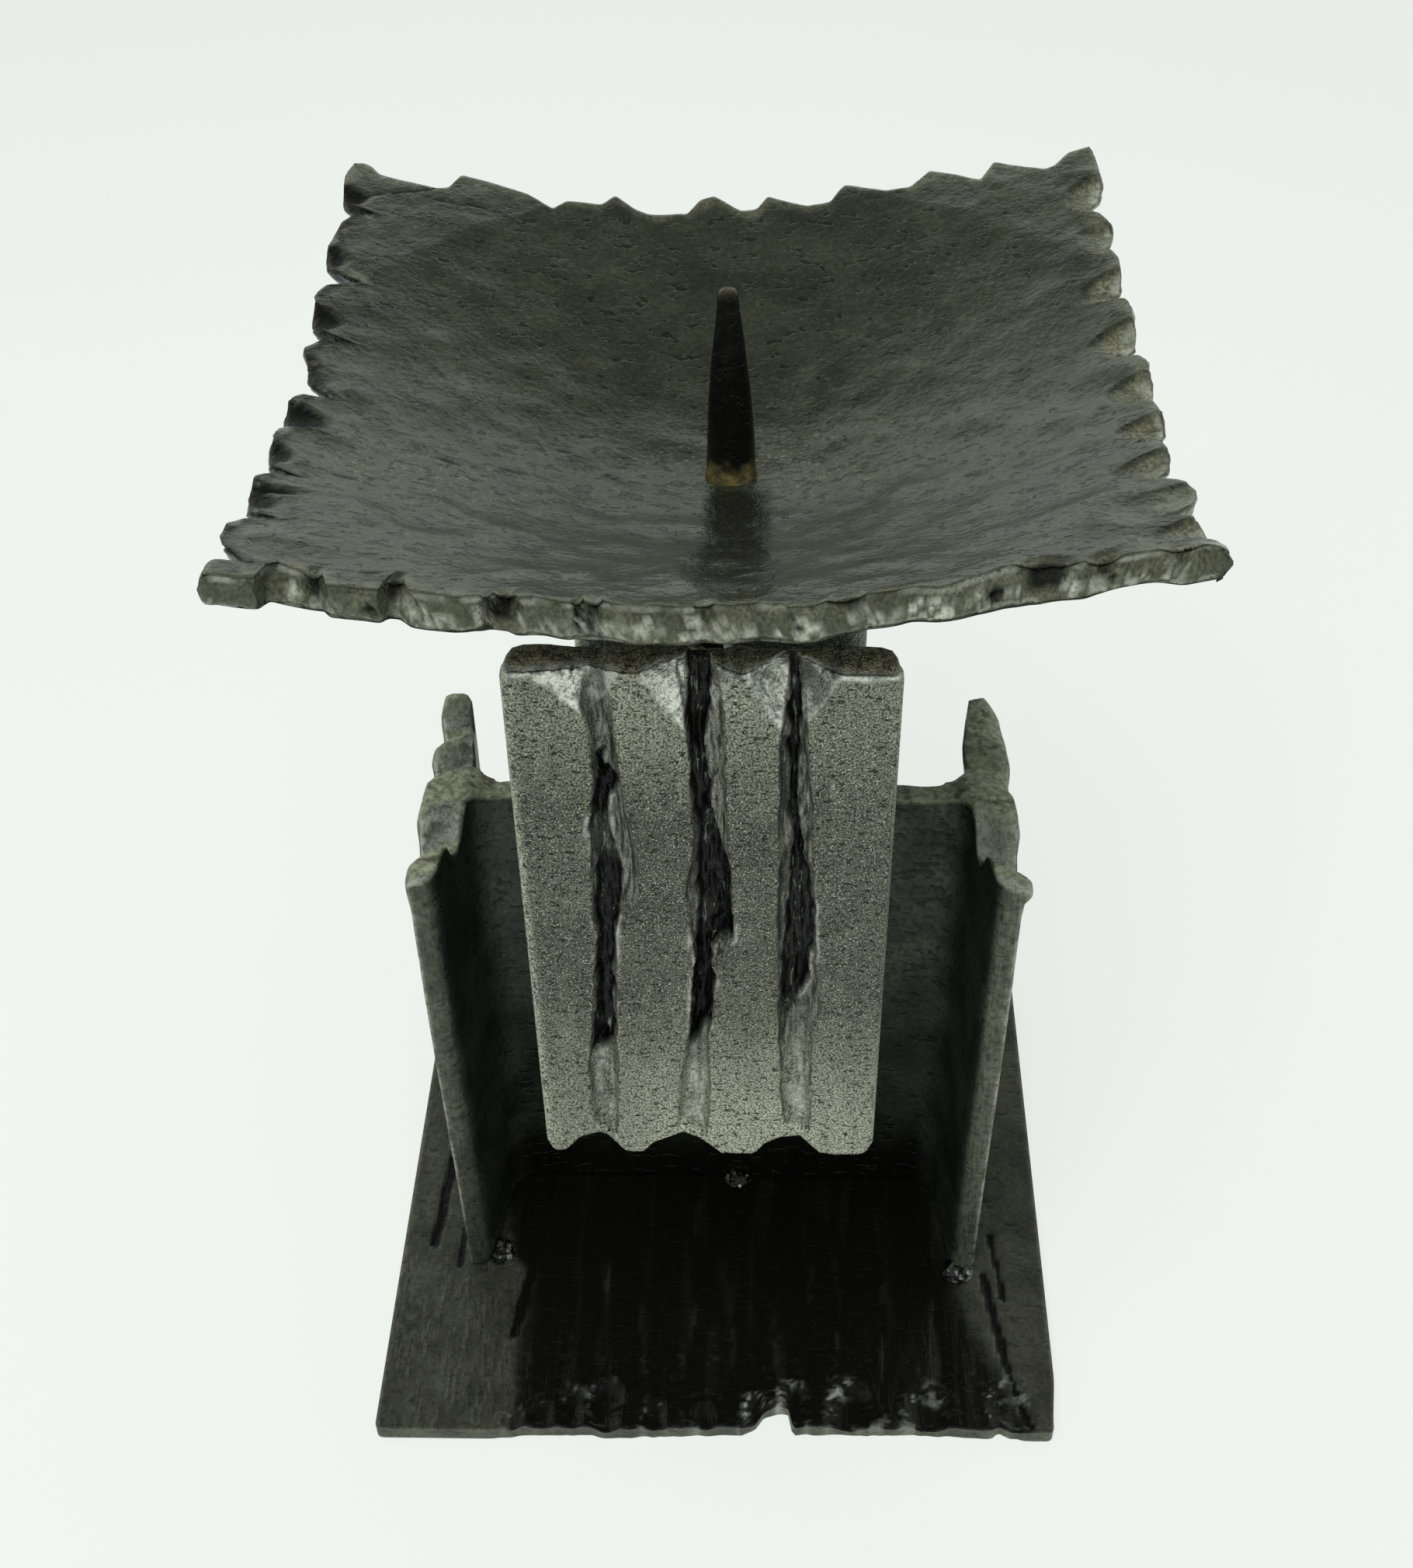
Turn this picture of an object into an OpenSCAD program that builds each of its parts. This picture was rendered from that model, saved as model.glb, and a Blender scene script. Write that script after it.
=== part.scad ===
// Pricket candle holder welded from steel offcuts: a stub of rolled beam on a
// plate, two fluted flat bars held off it by a cross plate, and a dished pan
// with a spike. The origin is the centre of the plate's underside, +Z is up
// and the front is towards -Y.

/* [Base plate] */
// Width of the base plate, left to right
base_w = 153; // [110:1:220]
// Depth of the base plate, front to back
base_d = 140; // [110:1:220]
// Thickness of the base plate
base_t = 4; // [3:0.5:10]
// Radius of the plate's four corners
base_corner_r = 1.5; // [0.5:0.5:6]
// Width of the torch nick in the front edge
nick_w = 6.5; // [2:0.5:12]
// Depth of the torch nick in the front edge
nick_d = 6; // [2:0.5:12]
// Distance of the nick from the middle of the front edge
nick_x = 13.8; // [-40:0.1:40]
// Width of one torch-washed channel in the top of the plate
wash_w = 12; // [6:0.5:20]
// Depth of a washed channel at the front edge
wash_depth = 1.4; // [0.4:0.1:2]
// How far the channels run in from the front edge
wash_run = 36; // [15:1:40]

/* [Beam stub] */
// Depth of the rolled beam section, over both flanges
beam_h = 120; // [80:1:160]
// Width of the flanges
beam_b = 58; // [42:1:80]
// Thickness of the web
beam_tw = 5.1; // [3.9:0.1:7]
// Thickness of a flange at a quarter of its width
beam_tf = 7.7; // [5.9:0.1:10]
// Radius of the fillet between web and flange
beam_root_r = 5.1; // [3:0.1:8]
// Radius of the flange's inner toe
beam_toe_r = 3.1; // [1.5:0.1:4]
// Length of the stub, from the plate to its highest point
beam_len = 131; // [100:1:180]
// How far the web's top edge lies below the stub's highest point
web_drop = 2.5; // [1:0.5:8]
// Depth of the torch bites in the flange tops
flange_bite = 7; // [3:0.5:10]

/* [Flat bars] */
// Width of a flat bar
bar_w = 66; // [40:1:90]
// Thickness of a flat bar
bar_t = 7.5; // [6:0.5:12]
// Length of a flat bar
bar_len = 126.5; // [90:0.5:160]
// Radius of the bar's long edges
bar_edge_r = 3.2; // [1:0.1:3.5]
// How far the bars' upper ends stand above the dish's seat
bar_rise = 5; // [2:0.5:8]
// Distance from the middle to a bar's outer face
bar_face_y = 55; // [45:0.5:65]
// Sideways place of the bars
bar_x = -1; // [-5:0.5:5]
// Radius of the gouged flutes
flute_r = 3.6; // [2:0.1:5]
// Depth of the flutes at mid-length
flute_depth = 4; // [2.5:0.1:5]
// Depth of the flutes at both ends of the bar
flute_end_depth = 1.2; // [0.6:0.1:2]
// Radius of the arches where the flutes leave the lower end
arch_r = 4.5; // [2.5:0.1:6]
// Height of those arches
arch_h = 3.4; // [1:0.1:6]
// Radius of the melted divots at the flutes' upper ends
divot_r = 6; // [3:0.5:9]

/* [Cross plate] */
// Thickness of the cross plate that ties the bars to the beam
tie_t = 5; // [3:0.5:8]
// Height of the cross plate's lower edge above the floor
tie_foot_h = 95; // [85:1:120]
// Play between the cross plate's slot and the beam's web
tie_slot_gap = 0.15; // [0.05:0.05:0.5]

/* [Dish] */
// Side of the square dish, over its rim lobes
dish_w = 150; // [110:1:200]
// Thickness of the dish
dish_t = 6; // [3:0.5:8]
// Height of the dish's underside at its middle
dish_seat_h = 204; // [180:1:240]
// Sideways place of the dish
dish_x = 1.5; // [-5:0.5:5]
// Radius of the round belly in the middle of the dish
belly_r = 34; // [20:1:45]
// Slope of the dish's flanks, in degrees
flank_angle = 20.3; // [10:0.1:30]
// Radius where the flanks flatten towards the corners
brim_r = 78; // [60:1:90]
// Slope of the dish beyond that radius, in degrees
brim_angle = 12; // [5:0.5:20]
// How far the dish leans back, in degrees
dish_lean = 3.9; // [0:0.1:6]
// How far the dish leans to the left, in degrees
dish_roll = 1.4; // [0:0.1:4]
// Radius of the rim's torch-cut notches
notch_r = 5; // [3:0.5:7]
// Depth of the rim's notches
notch_depth = 3.6; // [1:0.1:5]
// Radius of the dish's corners
dish_corner_r = 4; // [2:0.5:8]
// Radius of the flat under the dish's middle
seat_r = 9; // [6:0.5:14]

/* [Spike] */
// Height of the spike above the dish
spike_h = 37; // [20:1:60]
// Diameter of the spike at its shoulder
spike_d = 9.1; // [7:0.1:14]
// Diameter of the spike's blunt tip
spike_tip_d = 2.6; // [1:0.1:4]
// Diameter of the tenon through the dish
tenon_d = 6; // [4:0.1:8]
// Play between the tenon and its hole
tenon_gap = 0.1; // [0.05:0.05:0.3]

/* [Welds] */
// Leg of the fillet welds
weld_leg = 3; // [1.5:0.1:5]
// Radius of the tack welds at the beam's foot
tack_r = 3.6; // [2:0.1:6]
// How far a bead's centre lies behind the faces that it joins
weld_root = 0.6; // [0.2:0.1:1.5]
// Length of a weld run behind a bar
bar_weld_len = 40; // [15:1:60]

/* [Hidden] */
$fn = 64;

// Cuts run past the faces that they open
overrun = 1;

// Slope of the flanges' inner faces, as the section is rolled
flange_slope_share = 0.14;
beam_top_h = base_t + beam_len;
web_top_h = beam_top_h - web_drop;
bar_top_h = dish_seat_h + bar_rise;
bar_foot_h = bar_top_h - bar_len;
bar_back_y = bar_face_y - bar_t;

// Places along a flange, as shares of its half width from the middle, then
// the depth and the radius of each bite as shares of the deepest
left_bite_shares = [[0.62, 0.90, 1.00], [0.16, 0.45, 0.80], [-0.53, 0.95, 1.10], [1.10, 0.60, 0.90]];
right_bite_shares = [[0.84, 0.90, 1.60], [-0.05, 0.40, 0.90], [-0.64, 1.00, 1.15]];
// A bite is cut lower at the flange's outer face
bite_fall = 14;
// How much of the seam between web and cross plate is welded
tie_weld_share = 0.7;

// The three flutes: place of the upper end and of the lower end as shares of
// the bar's width, and the depth at mid-length as a share of the deepest
flute_shares = [
    [0.262, 0.171, 0.90],
    [0.530, 0.429, 1.00],
    [0.738, 0.765, 0.85]
];

// Notch middles along each side of the dish, as shares of its half side
left_notch_shares = [-0.921, -0.700, -0.479, -0.257, -0.045, 0.223, 0.477, 0.804];
right_notch_shares = [-0.912, -0.763, -0.572, -0.375, -0.173, 0.073, 0.325, 0.552, 0.768];
back_notch_shares = [-0.747, -0.469, -0.163, 0.047, 0.203, 0.432, 0.677, 0.833];
front_notch_shares = [-0.827, -0.621, -0.411, -0.227, 0.227, 0.573, 0.707];

// Washed channels across the plate's front, in channel widths from the middle
wash_first = -3.5;
wash_last = 5.5;

function reversed(points) = [for (i = [len(points) - 1 : -1 : 0]) points[i]];
function scaled(points, sx, sy) = [for (p = points) [p[0] * sx, p[1] * sy]];
function arc(centre, r, from, to, steps) =
    [for (i = [0 : steps]) let (a = from + (to - from) * i / steps)
        [centre[0] + r * cos(a), centre[1] + r * sin(a)]];

// One quarter of the rolled section, from the middle of the web to the
// flange's outer corner
flange_fall = atan(flange_slope_share);
flange_x0 = beam_h / 2 - beam_tf - flange_slope_share * beam_b / 4;
root_y = beam_tw / 2 + beam_root_r;
root_x = flange_x0 + flange_slope_share * root_y - beam_root_r / cos(flange_fall);
toe_y = beam_b / 2 - beam_toe_r;
toe_x = flange_x0 + flange_slope_share * toe_y + beam_toe_r / cos(flange_fall);
beam_quarter = concat(
    arc([root_x, root_y], beam_root_r, -90, -flange_fall, 6),
    arc([toe_x, toe_y], beam_toe_r, 180 - flange_fall, 90, 5),
    [[beam_h / 2, beam_b / 2]]);

module beam_section()
    polygon(concat(
        beam_quarter,
        reversed(scaled(beam_quarter, 1, -1)),
        scaled(beam_quarter, -1, -1),
        reversed(scaled(beam_quarter, -1, 1))));

module rounded_square(w, d, r) {
    square([w - 2 * r, d], center = true);
    square([w, d - 2 * r], center = true);
    for (x = [-1, 1], y = [-1, 1])
        translate([x * (w / 2 - r), y * (d / 2 - r)])
            circle(r = r);
}

// Base plate with its torch-washed front
wash_r = (pow(wash_w / 2, 2) + pow(wash_depth, 2)) / (2 * wash_depth);

module base_plate()
    color([0.10, 0.10, 0.10])
    difference() {
        linear_extrude(base_t)
            difference() {
                rounded_square(base_w, base_d, base_corner_r);
                translate([nick_x, -base_d / 2])
                    polygon([[-nick_w / 2, 0], [-nick_w / 2, -overrun], [nick_w / 2, -overrun],
                             [nick_w / 2, 0], [nick_w / 4, nick_d]]);
            }
        for (i = [wash_first : 1 : wash_last])
            translate([i * wash_w, -base_d / 2, base_t])
                rotate([atan(wash_depth / wash_run), 0, 0])
                    translate([0, 0, wash_r - wash_depth])
                        rotate([-90, 0, 0])
                            translate([0, 0, -overrun])
                                cylinder(h = wash_run + overrun, r = wash_r);
    }

// Beam stub with torch-bitten flange tops
module flange_bites(bites)
    for (b = bites) {
        r = flange_bite * b[2];
        translate([beam_h / 2, b[0] * beam_b / 2, beam_top_h - flange_bite * b[1] + r])
            rotate([0, bite_fall, 0])
                rotate([0, 90, 0])
                    cylinder(h = 4 * beam_tf, r = r, center = true);
    }

module beam()
    color([0.22, 0.24, 0.22])
    difference() {
        translate([0, 0, base_t])
            linear_extrude(beam_len)
                beam_section();
        translate([-root_x, -beam_b / 2, web_top_h])
            cube([2 * root_x, beam_b, web_drop + overrun]);
        mirror([1, 0, 0])
            flange_bites(left_bite_shares);
        flange_bites(right_bite_shares);
    }

// The dish's own frame: its middle on the cross plate, leaning a little
module dish_frame()
    translate([dish_x, 0, dish_seat_h])
        rotate([-dish_lean, 0, 0])
            rotate([0, -dish_roll, 0])
                children();

// Cross plate, slotted over the beam's web and cut to the dish's lean
slot_w = beam_tw + 2 * tie_slot_gap;

module tie_plate()
    color([0.20, 0.21, 0.20])
    difference() {
        translate([-tie_t / 2, -bar_back_y, tie_foot_h])
            cube([tie_t, 2 * bar_back_y, dish_seat_h + dish_t - tie_foot_h]);
        translate([-tie_t / 2 - overrun, -slot_w / 2, tie_foot_h - overrun])
            cube([tie_t + 2 * overrun, slot_w, web_top_h - tie_foot_h + overrun]);
        dish_frame()
            translate([-dish_w / 2, -dish_w / 2, 0])
                cube([dish_w, dish_w, dish_w]);
    }

// Flat bar with gouged flutes, its outer face towards -Y
function flute_x(share) = (share - 0.5) * bar_w;

// One bowed gouge, deepest at mid-length and shallow at both ends
module flute(shares) {
    depth = flute_depth * shares[2];
    bow_r = pow(bar_len, 2) / (8 * (depth - flute_end_depth));
    sweep = 2 * asin((bar_len / 2 + flute_r) / bow_r);
    translate([(flute_x(shares[0]) + flute_x(shares[1])) / 2, 0, bar_foot_h + bar_len / 2])
        rotate([0, atan((flute_x(shares[0]) - flute_x(shares[1])) / bar_len), 0])
            translate([0, depth - flute_r - bar_face_y - bow_r, 0])
                rotate([0, 90, 0])
                    rotate(90 - sweep / 2)
                        rotate_extrude(angle = sweep, $fn = 1200)
                            translate([bow_r, 0])
                                circle(r = flute_r, $fn = 48);
}

// The flute runs out through the lower end in an arch
module flute_arch(shares)
    translate([flute_x(shares[1]), -bar_face_y, bar_foot_h + arch_h - arch_r])
        rotate([90, 0, 0])
            cylinder(h = 2 * bar_t + overrun, r = arch_r, center = true);

// The torch melted the edge where it started each flute
module flute_divot(shares)
    translate([flute_x(shares[0]), -bar_face_y - divot_r / 2, bar_top_h + divot_r / 4])
        sphere(r = divot_r);

module bar()
    translate([bar_x, 0, 0])
        difference() {
            translate([0, bar_t / 2 - bar_face_y, bar_foot_h])
                linear_extrude(bar_len)
                    rounded_square(bar_w, bar_t, bar_edge_r);
            for (shares = flute_shares) {
                flute(shares);
                flute_arch(shares);
                flute_divot(shares);
            }
        }

module front_bar()
    color([0.33, 0.34, 0.33])
        bar();

module rear_bar()
    color([0.33, 0.34, 0.33])
        mirror([0, 1, 0])
            bar();

// Dished pan: a round belly, straight flanks and a flatter brim, revolved and
// then cut to a square with a torch-notched rim
belly_top_r = belly_r / sin(flank_angle);
belly_bottom_r = belly_top_r + dish_t;
seat_sink = belly_bottom_r - sqrt(pow(belly_bottom_r, 2) - pow(seat_r, 2));
belly_centre_h = belly_bottom_r - seat_sink;
belly_steps = 10;
rim_r = dish_w * sqrt(2) / 2;

function belly_point(r, a) = [r * sin(a), belly_centre_h - r * cos(a)];
function along(p, r, angle) = [r, p[1] + (r - p[0]) * tan(angle)];

seat_angle = asin(seat_r / belly_bottom_r);
bend = (flank_angle - brim_angle) / 2;
top_brim = along(belly_point(belly_top_r, flank_angle), brim_r, flank_angle);
bottom_brim = top_brim + dish_t / cos(bend) * [sin(flank_angle - bend), -cos(flank_angle - bend)];
dish_profile = concat(
    [[0, 0]],
    [for (i = [0 : belly_steps])
        belly_point(belly_bottom_r, seat_angle + (flank_angle - seat_angle) * i / belly_steps)],
    [bottom_brim, along(bottom_brim, rim_r, brim_angle), along(top_brim, rim_r, brim_angle), top_brim],
    [for (i = [belly_steps : -1 : 0])
        belly_point(belly_top_r, flank_angle * i / belly_steps)]);

module notches(shares)
    for (s = shares)
        translate([s * dish_w / 2, dish_w / 2 + notch_r - notch_depth])
            circle(r = notch_r);

module dish_outline()
    difference() {
        rounded_square(dish_w, dish_w, dish_corner_r);
        notches(back_notch_shares);
        mirror([0, 1])
            notches(front_notch_shares);
        rotate(-90)
            mirror([1, 0])
                notches(right_notch_shares);
        rotate(90)
            notches(left_notch_shares);
    }

module dish()
    color([0.14, 0.15, 0.14])
    dish_frame()
        difference() {
            intersection() {
                rotate_extrude()
                    polygon(dish_profile);
                linear_extrude(dish_w)
                    dish_outline();
            }
            translate([0, 0, -overrun])
                cylinder(h = dish_t + 2 * overrun, r = tenon_d / 2 + tenon_gap);
        }

// Tapered pricket with a shoulder on the dish and a tenon through it
shoulder_h = belly_centre_h - sqrt(pow(belly_top_r, 2) - pow(spike_d / 2, 2));
tip_r = spike_tip_d / 2;

module spike()
    color([0.07, 0.07, 0.07])
    dish_frame()
        rotate_extrude()
            polygon(concat(
                [[0, 0], [tenon_d / 2, 0], [tenon_d / 2, shoulder_h], [spike_d / 2, shoulder_h]],
                arc([0, shoulder_h + spike_h - tip_r], tip_r, 0, 90, 6)));

// Tack weld at the beam's foot, a blob that fills its corner
module tack(x, y)
    color([0.45, 0.46, 0.45])
    difference() {
        translate([x, y, base_t])
            sphere(r = tack_r);
        translate([x - beam_h, y - beam_b, base_t - 2 * tack_r])
            cube([2 * beam_h, 2 * beam_b, 2 * tack_r]);
        linear_extrude(base_t + 2 * tack_r)
            beam_section();
    }

toe_tack_x = beam_h / 2 - beam_tf + overrun / 2;
toe_tack_y = beam_b / 2 - tack_r;
tip_tack_x = beam_h / 2 - beam_tf / 2;

module tack_front_left() tack(-toe_tack_x, -toe_tack_y);
module tack_front_right() tack(tip_tack_x, -beam_b / 2);
module tack_rear_left() tack(-tip_tack_x, beam_b / 2);
module tack_rear_right() tack(toe_tack_x, toe_tack_y);
module tack_web_front() tack(tack_r, -beam_tw / 2);
module tack_web_rear() tack(-tack_r, beam_tw / 2);

// Convex bead along Z, before what it joins is cut from it
module weld_run(length) {
    cylinder(h = length, r = weld_leg, center = true);
    for (z = [-1, 1])
        translate([0, 0, z * length / 2])
            sphere(r = weld_leg);
}

bar_weld_h = (web_top_h + dish_seat_h) / 2;

module weld_front_bar()
    color([0.45, 0.46, 0.45])
    difference() {
        for (side = [-1, 1])
            translate([side * (tie_t / 2 - weld_root), -bar_back_y - weld_root, bar_weld_h])
                weld_run(bar_weld_len - 2 * weld_leg);
        translate([-tie_t / 2, -bar_back_y - bar_t, bar_foot_h])
            cube([tie_t, 2 * bar_t, bar_len]);
        translate([-bar_w / 2, -bar_back_y - bar_t, bar_foot_h])
            cube([bar_w, bar_t, bar_len]);
    }

module weld_rear_bar()
    mirror([0, 1, 0])
        weld_front_bar();

tie_weld_len = (web_top_h - tie_foot_h) * tie_weld_share;

module weld_tie_web()
    color([0.45, 0.46, 0.45])
    difference() {
        for (side = [-1, 1], face = [-1, 1])
            translate([side * (tie_t / 2 - weld_root), face * (beam_tw / 2 - weld_root),
                       (web_top_h + tie_foot_h) / 2])
                weld_run(tie_weld_len - 2 * weld_leg);
        translate([-tie_t / 2, -bar_back_y, tie_foot_h])
            cube([tie_t, 2 * bar_back_y, beam_len]);
        translate([-root_x, -beam_tw / 2, tie_foot_h - weld_leg])
            cube([2 * root_x, beam_tw, beam_len]);
    }

module weld_dish()
    color([0.45, 0.46, 0.45])
    difference() {
        for (side = [-1, 1])
            dish_frame()
                translate([side * (tie_t / 2 - weld_root) - dish_x, 0, weld_root])
                    rotate([90, 0, 0])
                        weld_run(seat_r);
        dish_frame()
            translate([-dish_w / 2, -dish_w / 2, 0])
                cube([dish_w, dish_w, dish_w]);
        translate([-tie_t / 2, -bar_back_y, tie_foot_h])
            cube([tie_t, 2 * bar_back_y, dish_seat_h]);
    }

base_plate();
beam();
tie_plate();
front_bar();
rear_bar();
dish();
spike();
tack_front_left();
tack_front_right();
tack_rear_left();
tack_rear_right();
tack_web_front();
tack_web_rear();
weld_front_bar();
weld_rear_bar();
weld_tie_web();
weld_dish();
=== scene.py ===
# %% [markdown]
# # A welded candle holder, dressed over its CAD frame
# The real piece is made from steel offcuts: a stub of rolled beam stands on a
# small plate, two gouged flat bars hang beside it, and a hammered square pan
# with a spike sits on top. The CAD model already holds every size and place.
# Here each piece gets the skin that torch, hammer and wax gave it.

# %% Open the frame
import math
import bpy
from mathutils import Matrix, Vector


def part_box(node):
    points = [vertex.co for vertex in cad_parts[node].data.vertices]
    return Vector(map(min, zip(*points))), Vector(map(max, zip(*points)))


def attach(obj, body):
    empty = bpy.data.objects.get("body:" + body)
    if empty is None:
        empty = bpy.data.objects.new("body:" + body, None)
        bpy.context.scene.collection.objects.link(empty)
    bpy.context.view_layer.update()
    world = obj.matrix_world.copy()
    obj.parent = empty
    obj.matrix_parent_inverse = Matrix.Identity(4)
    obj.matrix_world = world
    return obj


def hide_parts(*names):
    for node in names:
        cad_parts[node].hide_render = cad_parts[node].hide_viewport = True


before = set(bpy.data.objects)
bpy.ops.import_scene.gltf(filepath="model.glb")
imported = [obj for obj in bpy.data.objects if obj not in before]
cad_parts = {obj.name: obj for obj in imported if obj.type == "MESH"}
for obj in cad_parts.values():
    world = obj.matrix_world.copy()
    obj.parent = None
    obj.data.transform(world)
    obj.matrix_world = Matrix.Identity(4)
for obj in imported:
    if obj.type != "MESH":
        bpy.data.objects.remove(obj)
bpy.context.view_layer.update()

from types import SimpleNamespace

import bmesh
import bpy
import numpy as np
from mathutils import Matrix, Vector

mm = 0.001


# %% Put things in the scene
def add_object(name, data):
    thing = bpy.data.objects.new(name, data)
    bpy.context.scene.collection.objects.link(thing)
    return thing


def new_piece(bm, name):
    mesh = bpy.data.meshes.new(name)
    bm.to_mesh(mesh)
    bm.free()
    return add_object(name, mesh)


# %% [markdown]
# ## The camera
# The photograph looks down at about 42 degrees from close by. The place, the
# turn and the lens were worked out once from straight edges of the object
# whose real sizes are known, so they are plain numbers here. The reach is the
# lens's focal length in pixels of the photograph.

# %% Stand the camera
photo_width, photo_height = 1820, 2019
camera_place = Vector((9.87, -310.39, 418.62)) * mm
camera_turn = math.radians(2.2926)
camera_down = math.radians(42.4901)
camera_roll = math.radians(-0.9699)
camera_reach = 2634.3


def stand_camera():
    lens = bpy.data.cameras.new("photo camera")
    lens.sensor_width = 36
    lens.lens = camera_reach / max(photo_width, photo_height) * lens.sensor_width
    lens.clip_start = 0.01
    camera = add_object("photo_camera", lens)
    aim = Matrix.Rotation(camera_turn, 4, "Z") @ Matrix.Rotation(math.pi / 2 - camera_down, 4, "X")
    aim = aim @ Matrix.Rotation(camera_roll, 4, "Z")
    camera.matrix_world = Matrix.Translation(camera_place) @ aim
    bpy.context.scene.camera = camera
    return camera


camera = stand_camera()
print("the lens is", round(camera.data.lens, 2), "mm long")

# %% [markdown]
# ## Shader sums written as Python
# A material is a net of small nodes. Wiring them by hand hides what they work
# out, so a small class wraps an output and adds a Math node for each sign
# that is written on it. One method of the bench makes every other node.

# %% A wire that can be added and multiplied
class Wire:
    def __init__(self, bench, socket):
        self.bench = bench
        self.socket = socket

    def join(self, operation, first, second):
        return self.bench.node("ShaderNodeMath", {"operation": operation}, {0: first, 1: second})

    def __add__(self, other):
        return self.join("ADD", self, other)

    __radd__ = __add__

    def __sub__(self, other):
        return self.join("SUBTRACT", self, other)

    def __rsub__(self, other):
        return self.join("SUBTRACT", other, self)

    def __mul__(self, other):
        return self.join("MULTIPLY", self, other)

    __rmul__ = __mul__


# %% The bench on which materials are made
class Bench:
    def __init__(self, owner):
        owner.use_nodes = True
        self.owner = owner
        self.tree = owner.node_tree
        self.tree.nodes.clear()

    def node(self, kind, settings=None, values=None, output=0):
        node = self.tree.nodes.new(kind)
        for name, value in (settings or {}).items():
            setattr(node, name, value)
        for name, value in (values or {}).items():
            if isinstance(value, Wire):
                self.tree.links.new(value.socket, node.inputs[name])
            else:
                node.inputs[name].default_value = value
        return Wire(self, node.outputs[output]) if node.outputs else None

    def ease(self, value, low, high):
        ends = {"Value": value, "From Min": low, "From Max": high}
        return self.node("ShaderNodeMapRange", {"interpolation_type": "SMOOTHSTEP"}, ends)

    def mix(self, share, first, second):
        parts = {0: share, 6: first, 7: second}
        return self.node("ShaderNodeMix", {"data_type": "RGBA"}, parts, output=2)

    def spot(self, stretch=(1, 1, 1)):
        here = self.node("ShaderNodeTexCoord", output=3)
        return self.node("ShaderNodeMapping", None, {"Vector": here, "Scale": stretch})

    def speckle(self, spot, size, detail=2.0, rough=0.5):
        look = {"Vector": spot, "Scale": 1 / size, "Detail": detail, "Roughness": rough}
        return self.node("ShaderNodeTexNoise", None, look)

    def patches(self, size, low, high, stretch=(1, 1, 1), detail=2.0, rough=0.5):
        """Speckle turned into soft-edged patches: 0 below low and 1 above high."""
        return self.ease(self.speckle(self.spot(stretch), size, detail, rough), low, high)

    def painted(self, name):
        return self.node("ShaderNodeAttribute", {"attribute_name": name}, output=2)


def tone(red, green, blue):
    def linear(level):
        level = level / 255
        return level / 12.92 if level <= 0.04045 else ((level + 0.055) / 1.055) ** 2.4

    return (linear(red), linear(green), linear(blue), 1.0)


print("a middle grey is", [round(level, 3) for level in tone(118, 118, 118)[:3]])

# %% [markdown]
# ## The table top and the light
# The real piece was shot on a white sweep under soft light, and its shadow is
# almost lost. A floor that glows a little for the camera and for reflections
# gives that white without adding light to the steel.

# %% Lay the floor
floor_side = 8.0
floor_tone = tone(237, 242, 237)
floor_glow_share = 0.8


def white_glow(bench):
    """1 for what the camera, a reflection or a look through glass sees."""
    rays = [bench.node("ShaderNodeLightPath", output=name)
            for name in ("Is Camera Ray", "Is Glossy Ray", "Is Transmission Ray")]
    return rays[0] + rays[1] + rays[2]


def lay_floor():
    bm = bmesh.new()
    bmesh.ops.create_grid(bm, x_segments=1, y_segments=1, size=floor_side / 2)
    floor = new_piece(bm, "floor")
    bench = Bench(bpy.data.materials.new("white sweep"))
    matt = bench.node("ShaderNodeBsdfDiffuse", None, {"Color": floor_tone})
    glow = bench.node("ShaderNodeEmission", None, {"Color": floor_tone})
    share = white_glow(bench) * floor_glow_share
    both = bench.node("ShaderNodeMixShader", None, {0: share, 1: matt, 2: glow})
    bench.node("ShaderNodeOutputMaterial", None, {"Surface": both})
    floor.data.materials.append(bench.owner)
    return floor


floor = lay_floor()
print("the floor is", floor_side, "m wide")

# %% Light the room
# The sweep is white all round, and the ceiling above it is dim
sky_light = 0.45
ceiling_dim = 0.9


def light_room():
    bench = Bench(bpy.data.worlds.new("studio"))
    look = bench.node("ShaderNodeTexCoord", output=0)
    height = bench.node("ShaderNodeSeparateXYZ", None, {0: look}, output=2)
    ceiling = bench.ease(height, 0.4, 0.85)
    in_camera = bench.node("ShaderNodeLightPath", output="Is Camera Ray")
    glow = 1.0 - ceiling * ceiling_dim * (1.0 - in_camera)
    seen = bench.node("ShaderNodeBackground", None, {"Color": floor_tone, "Strength": glow})
    lit = bench.node("ShaderNodeBackground", None, {"Color": floor_tone, "Strength": sky_light})
    both = bench.node("ShaderNodeMixShader", None, {0: white_glow(bench), 1: lit, 2: seen})
    bench.node("ShaderNodeOutputWorld", None, {"Surface": both})
    bpy.context.scene.world = bench.owner


def hang_lamp(name, place, side, watts, aim=(0, 0, 0.12)):
    """A softbox. Behind a screen it lights the steel, and the steel doesn't mirror it."""
    light = bpy.data.lights.new(name, "AREA")
    light.shape = "SQUARE"
    light.size = side
    light.energy = watts
    lamp = add_object(name, light)
    lamp.location = place
    lamp.visible_glossy = False
    lamp.rotation_mode = "QUATERNION"
    lamp.rotation_quaternion = (Vector(aim) - Vector(place)).to_track_quat("-Z", "Y")


bpy.context.scene.view_settings.view_transform = "Standard"
light_room()
hang_lamp("front softbox", (-0.15, -0.55, 1.1), 0.7, 11)
hang_lamp("top softbox", (-0.1, 0.25, 1.1), 0.9, 4)
print("two softboxes and a pale room light the piece")

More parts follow.
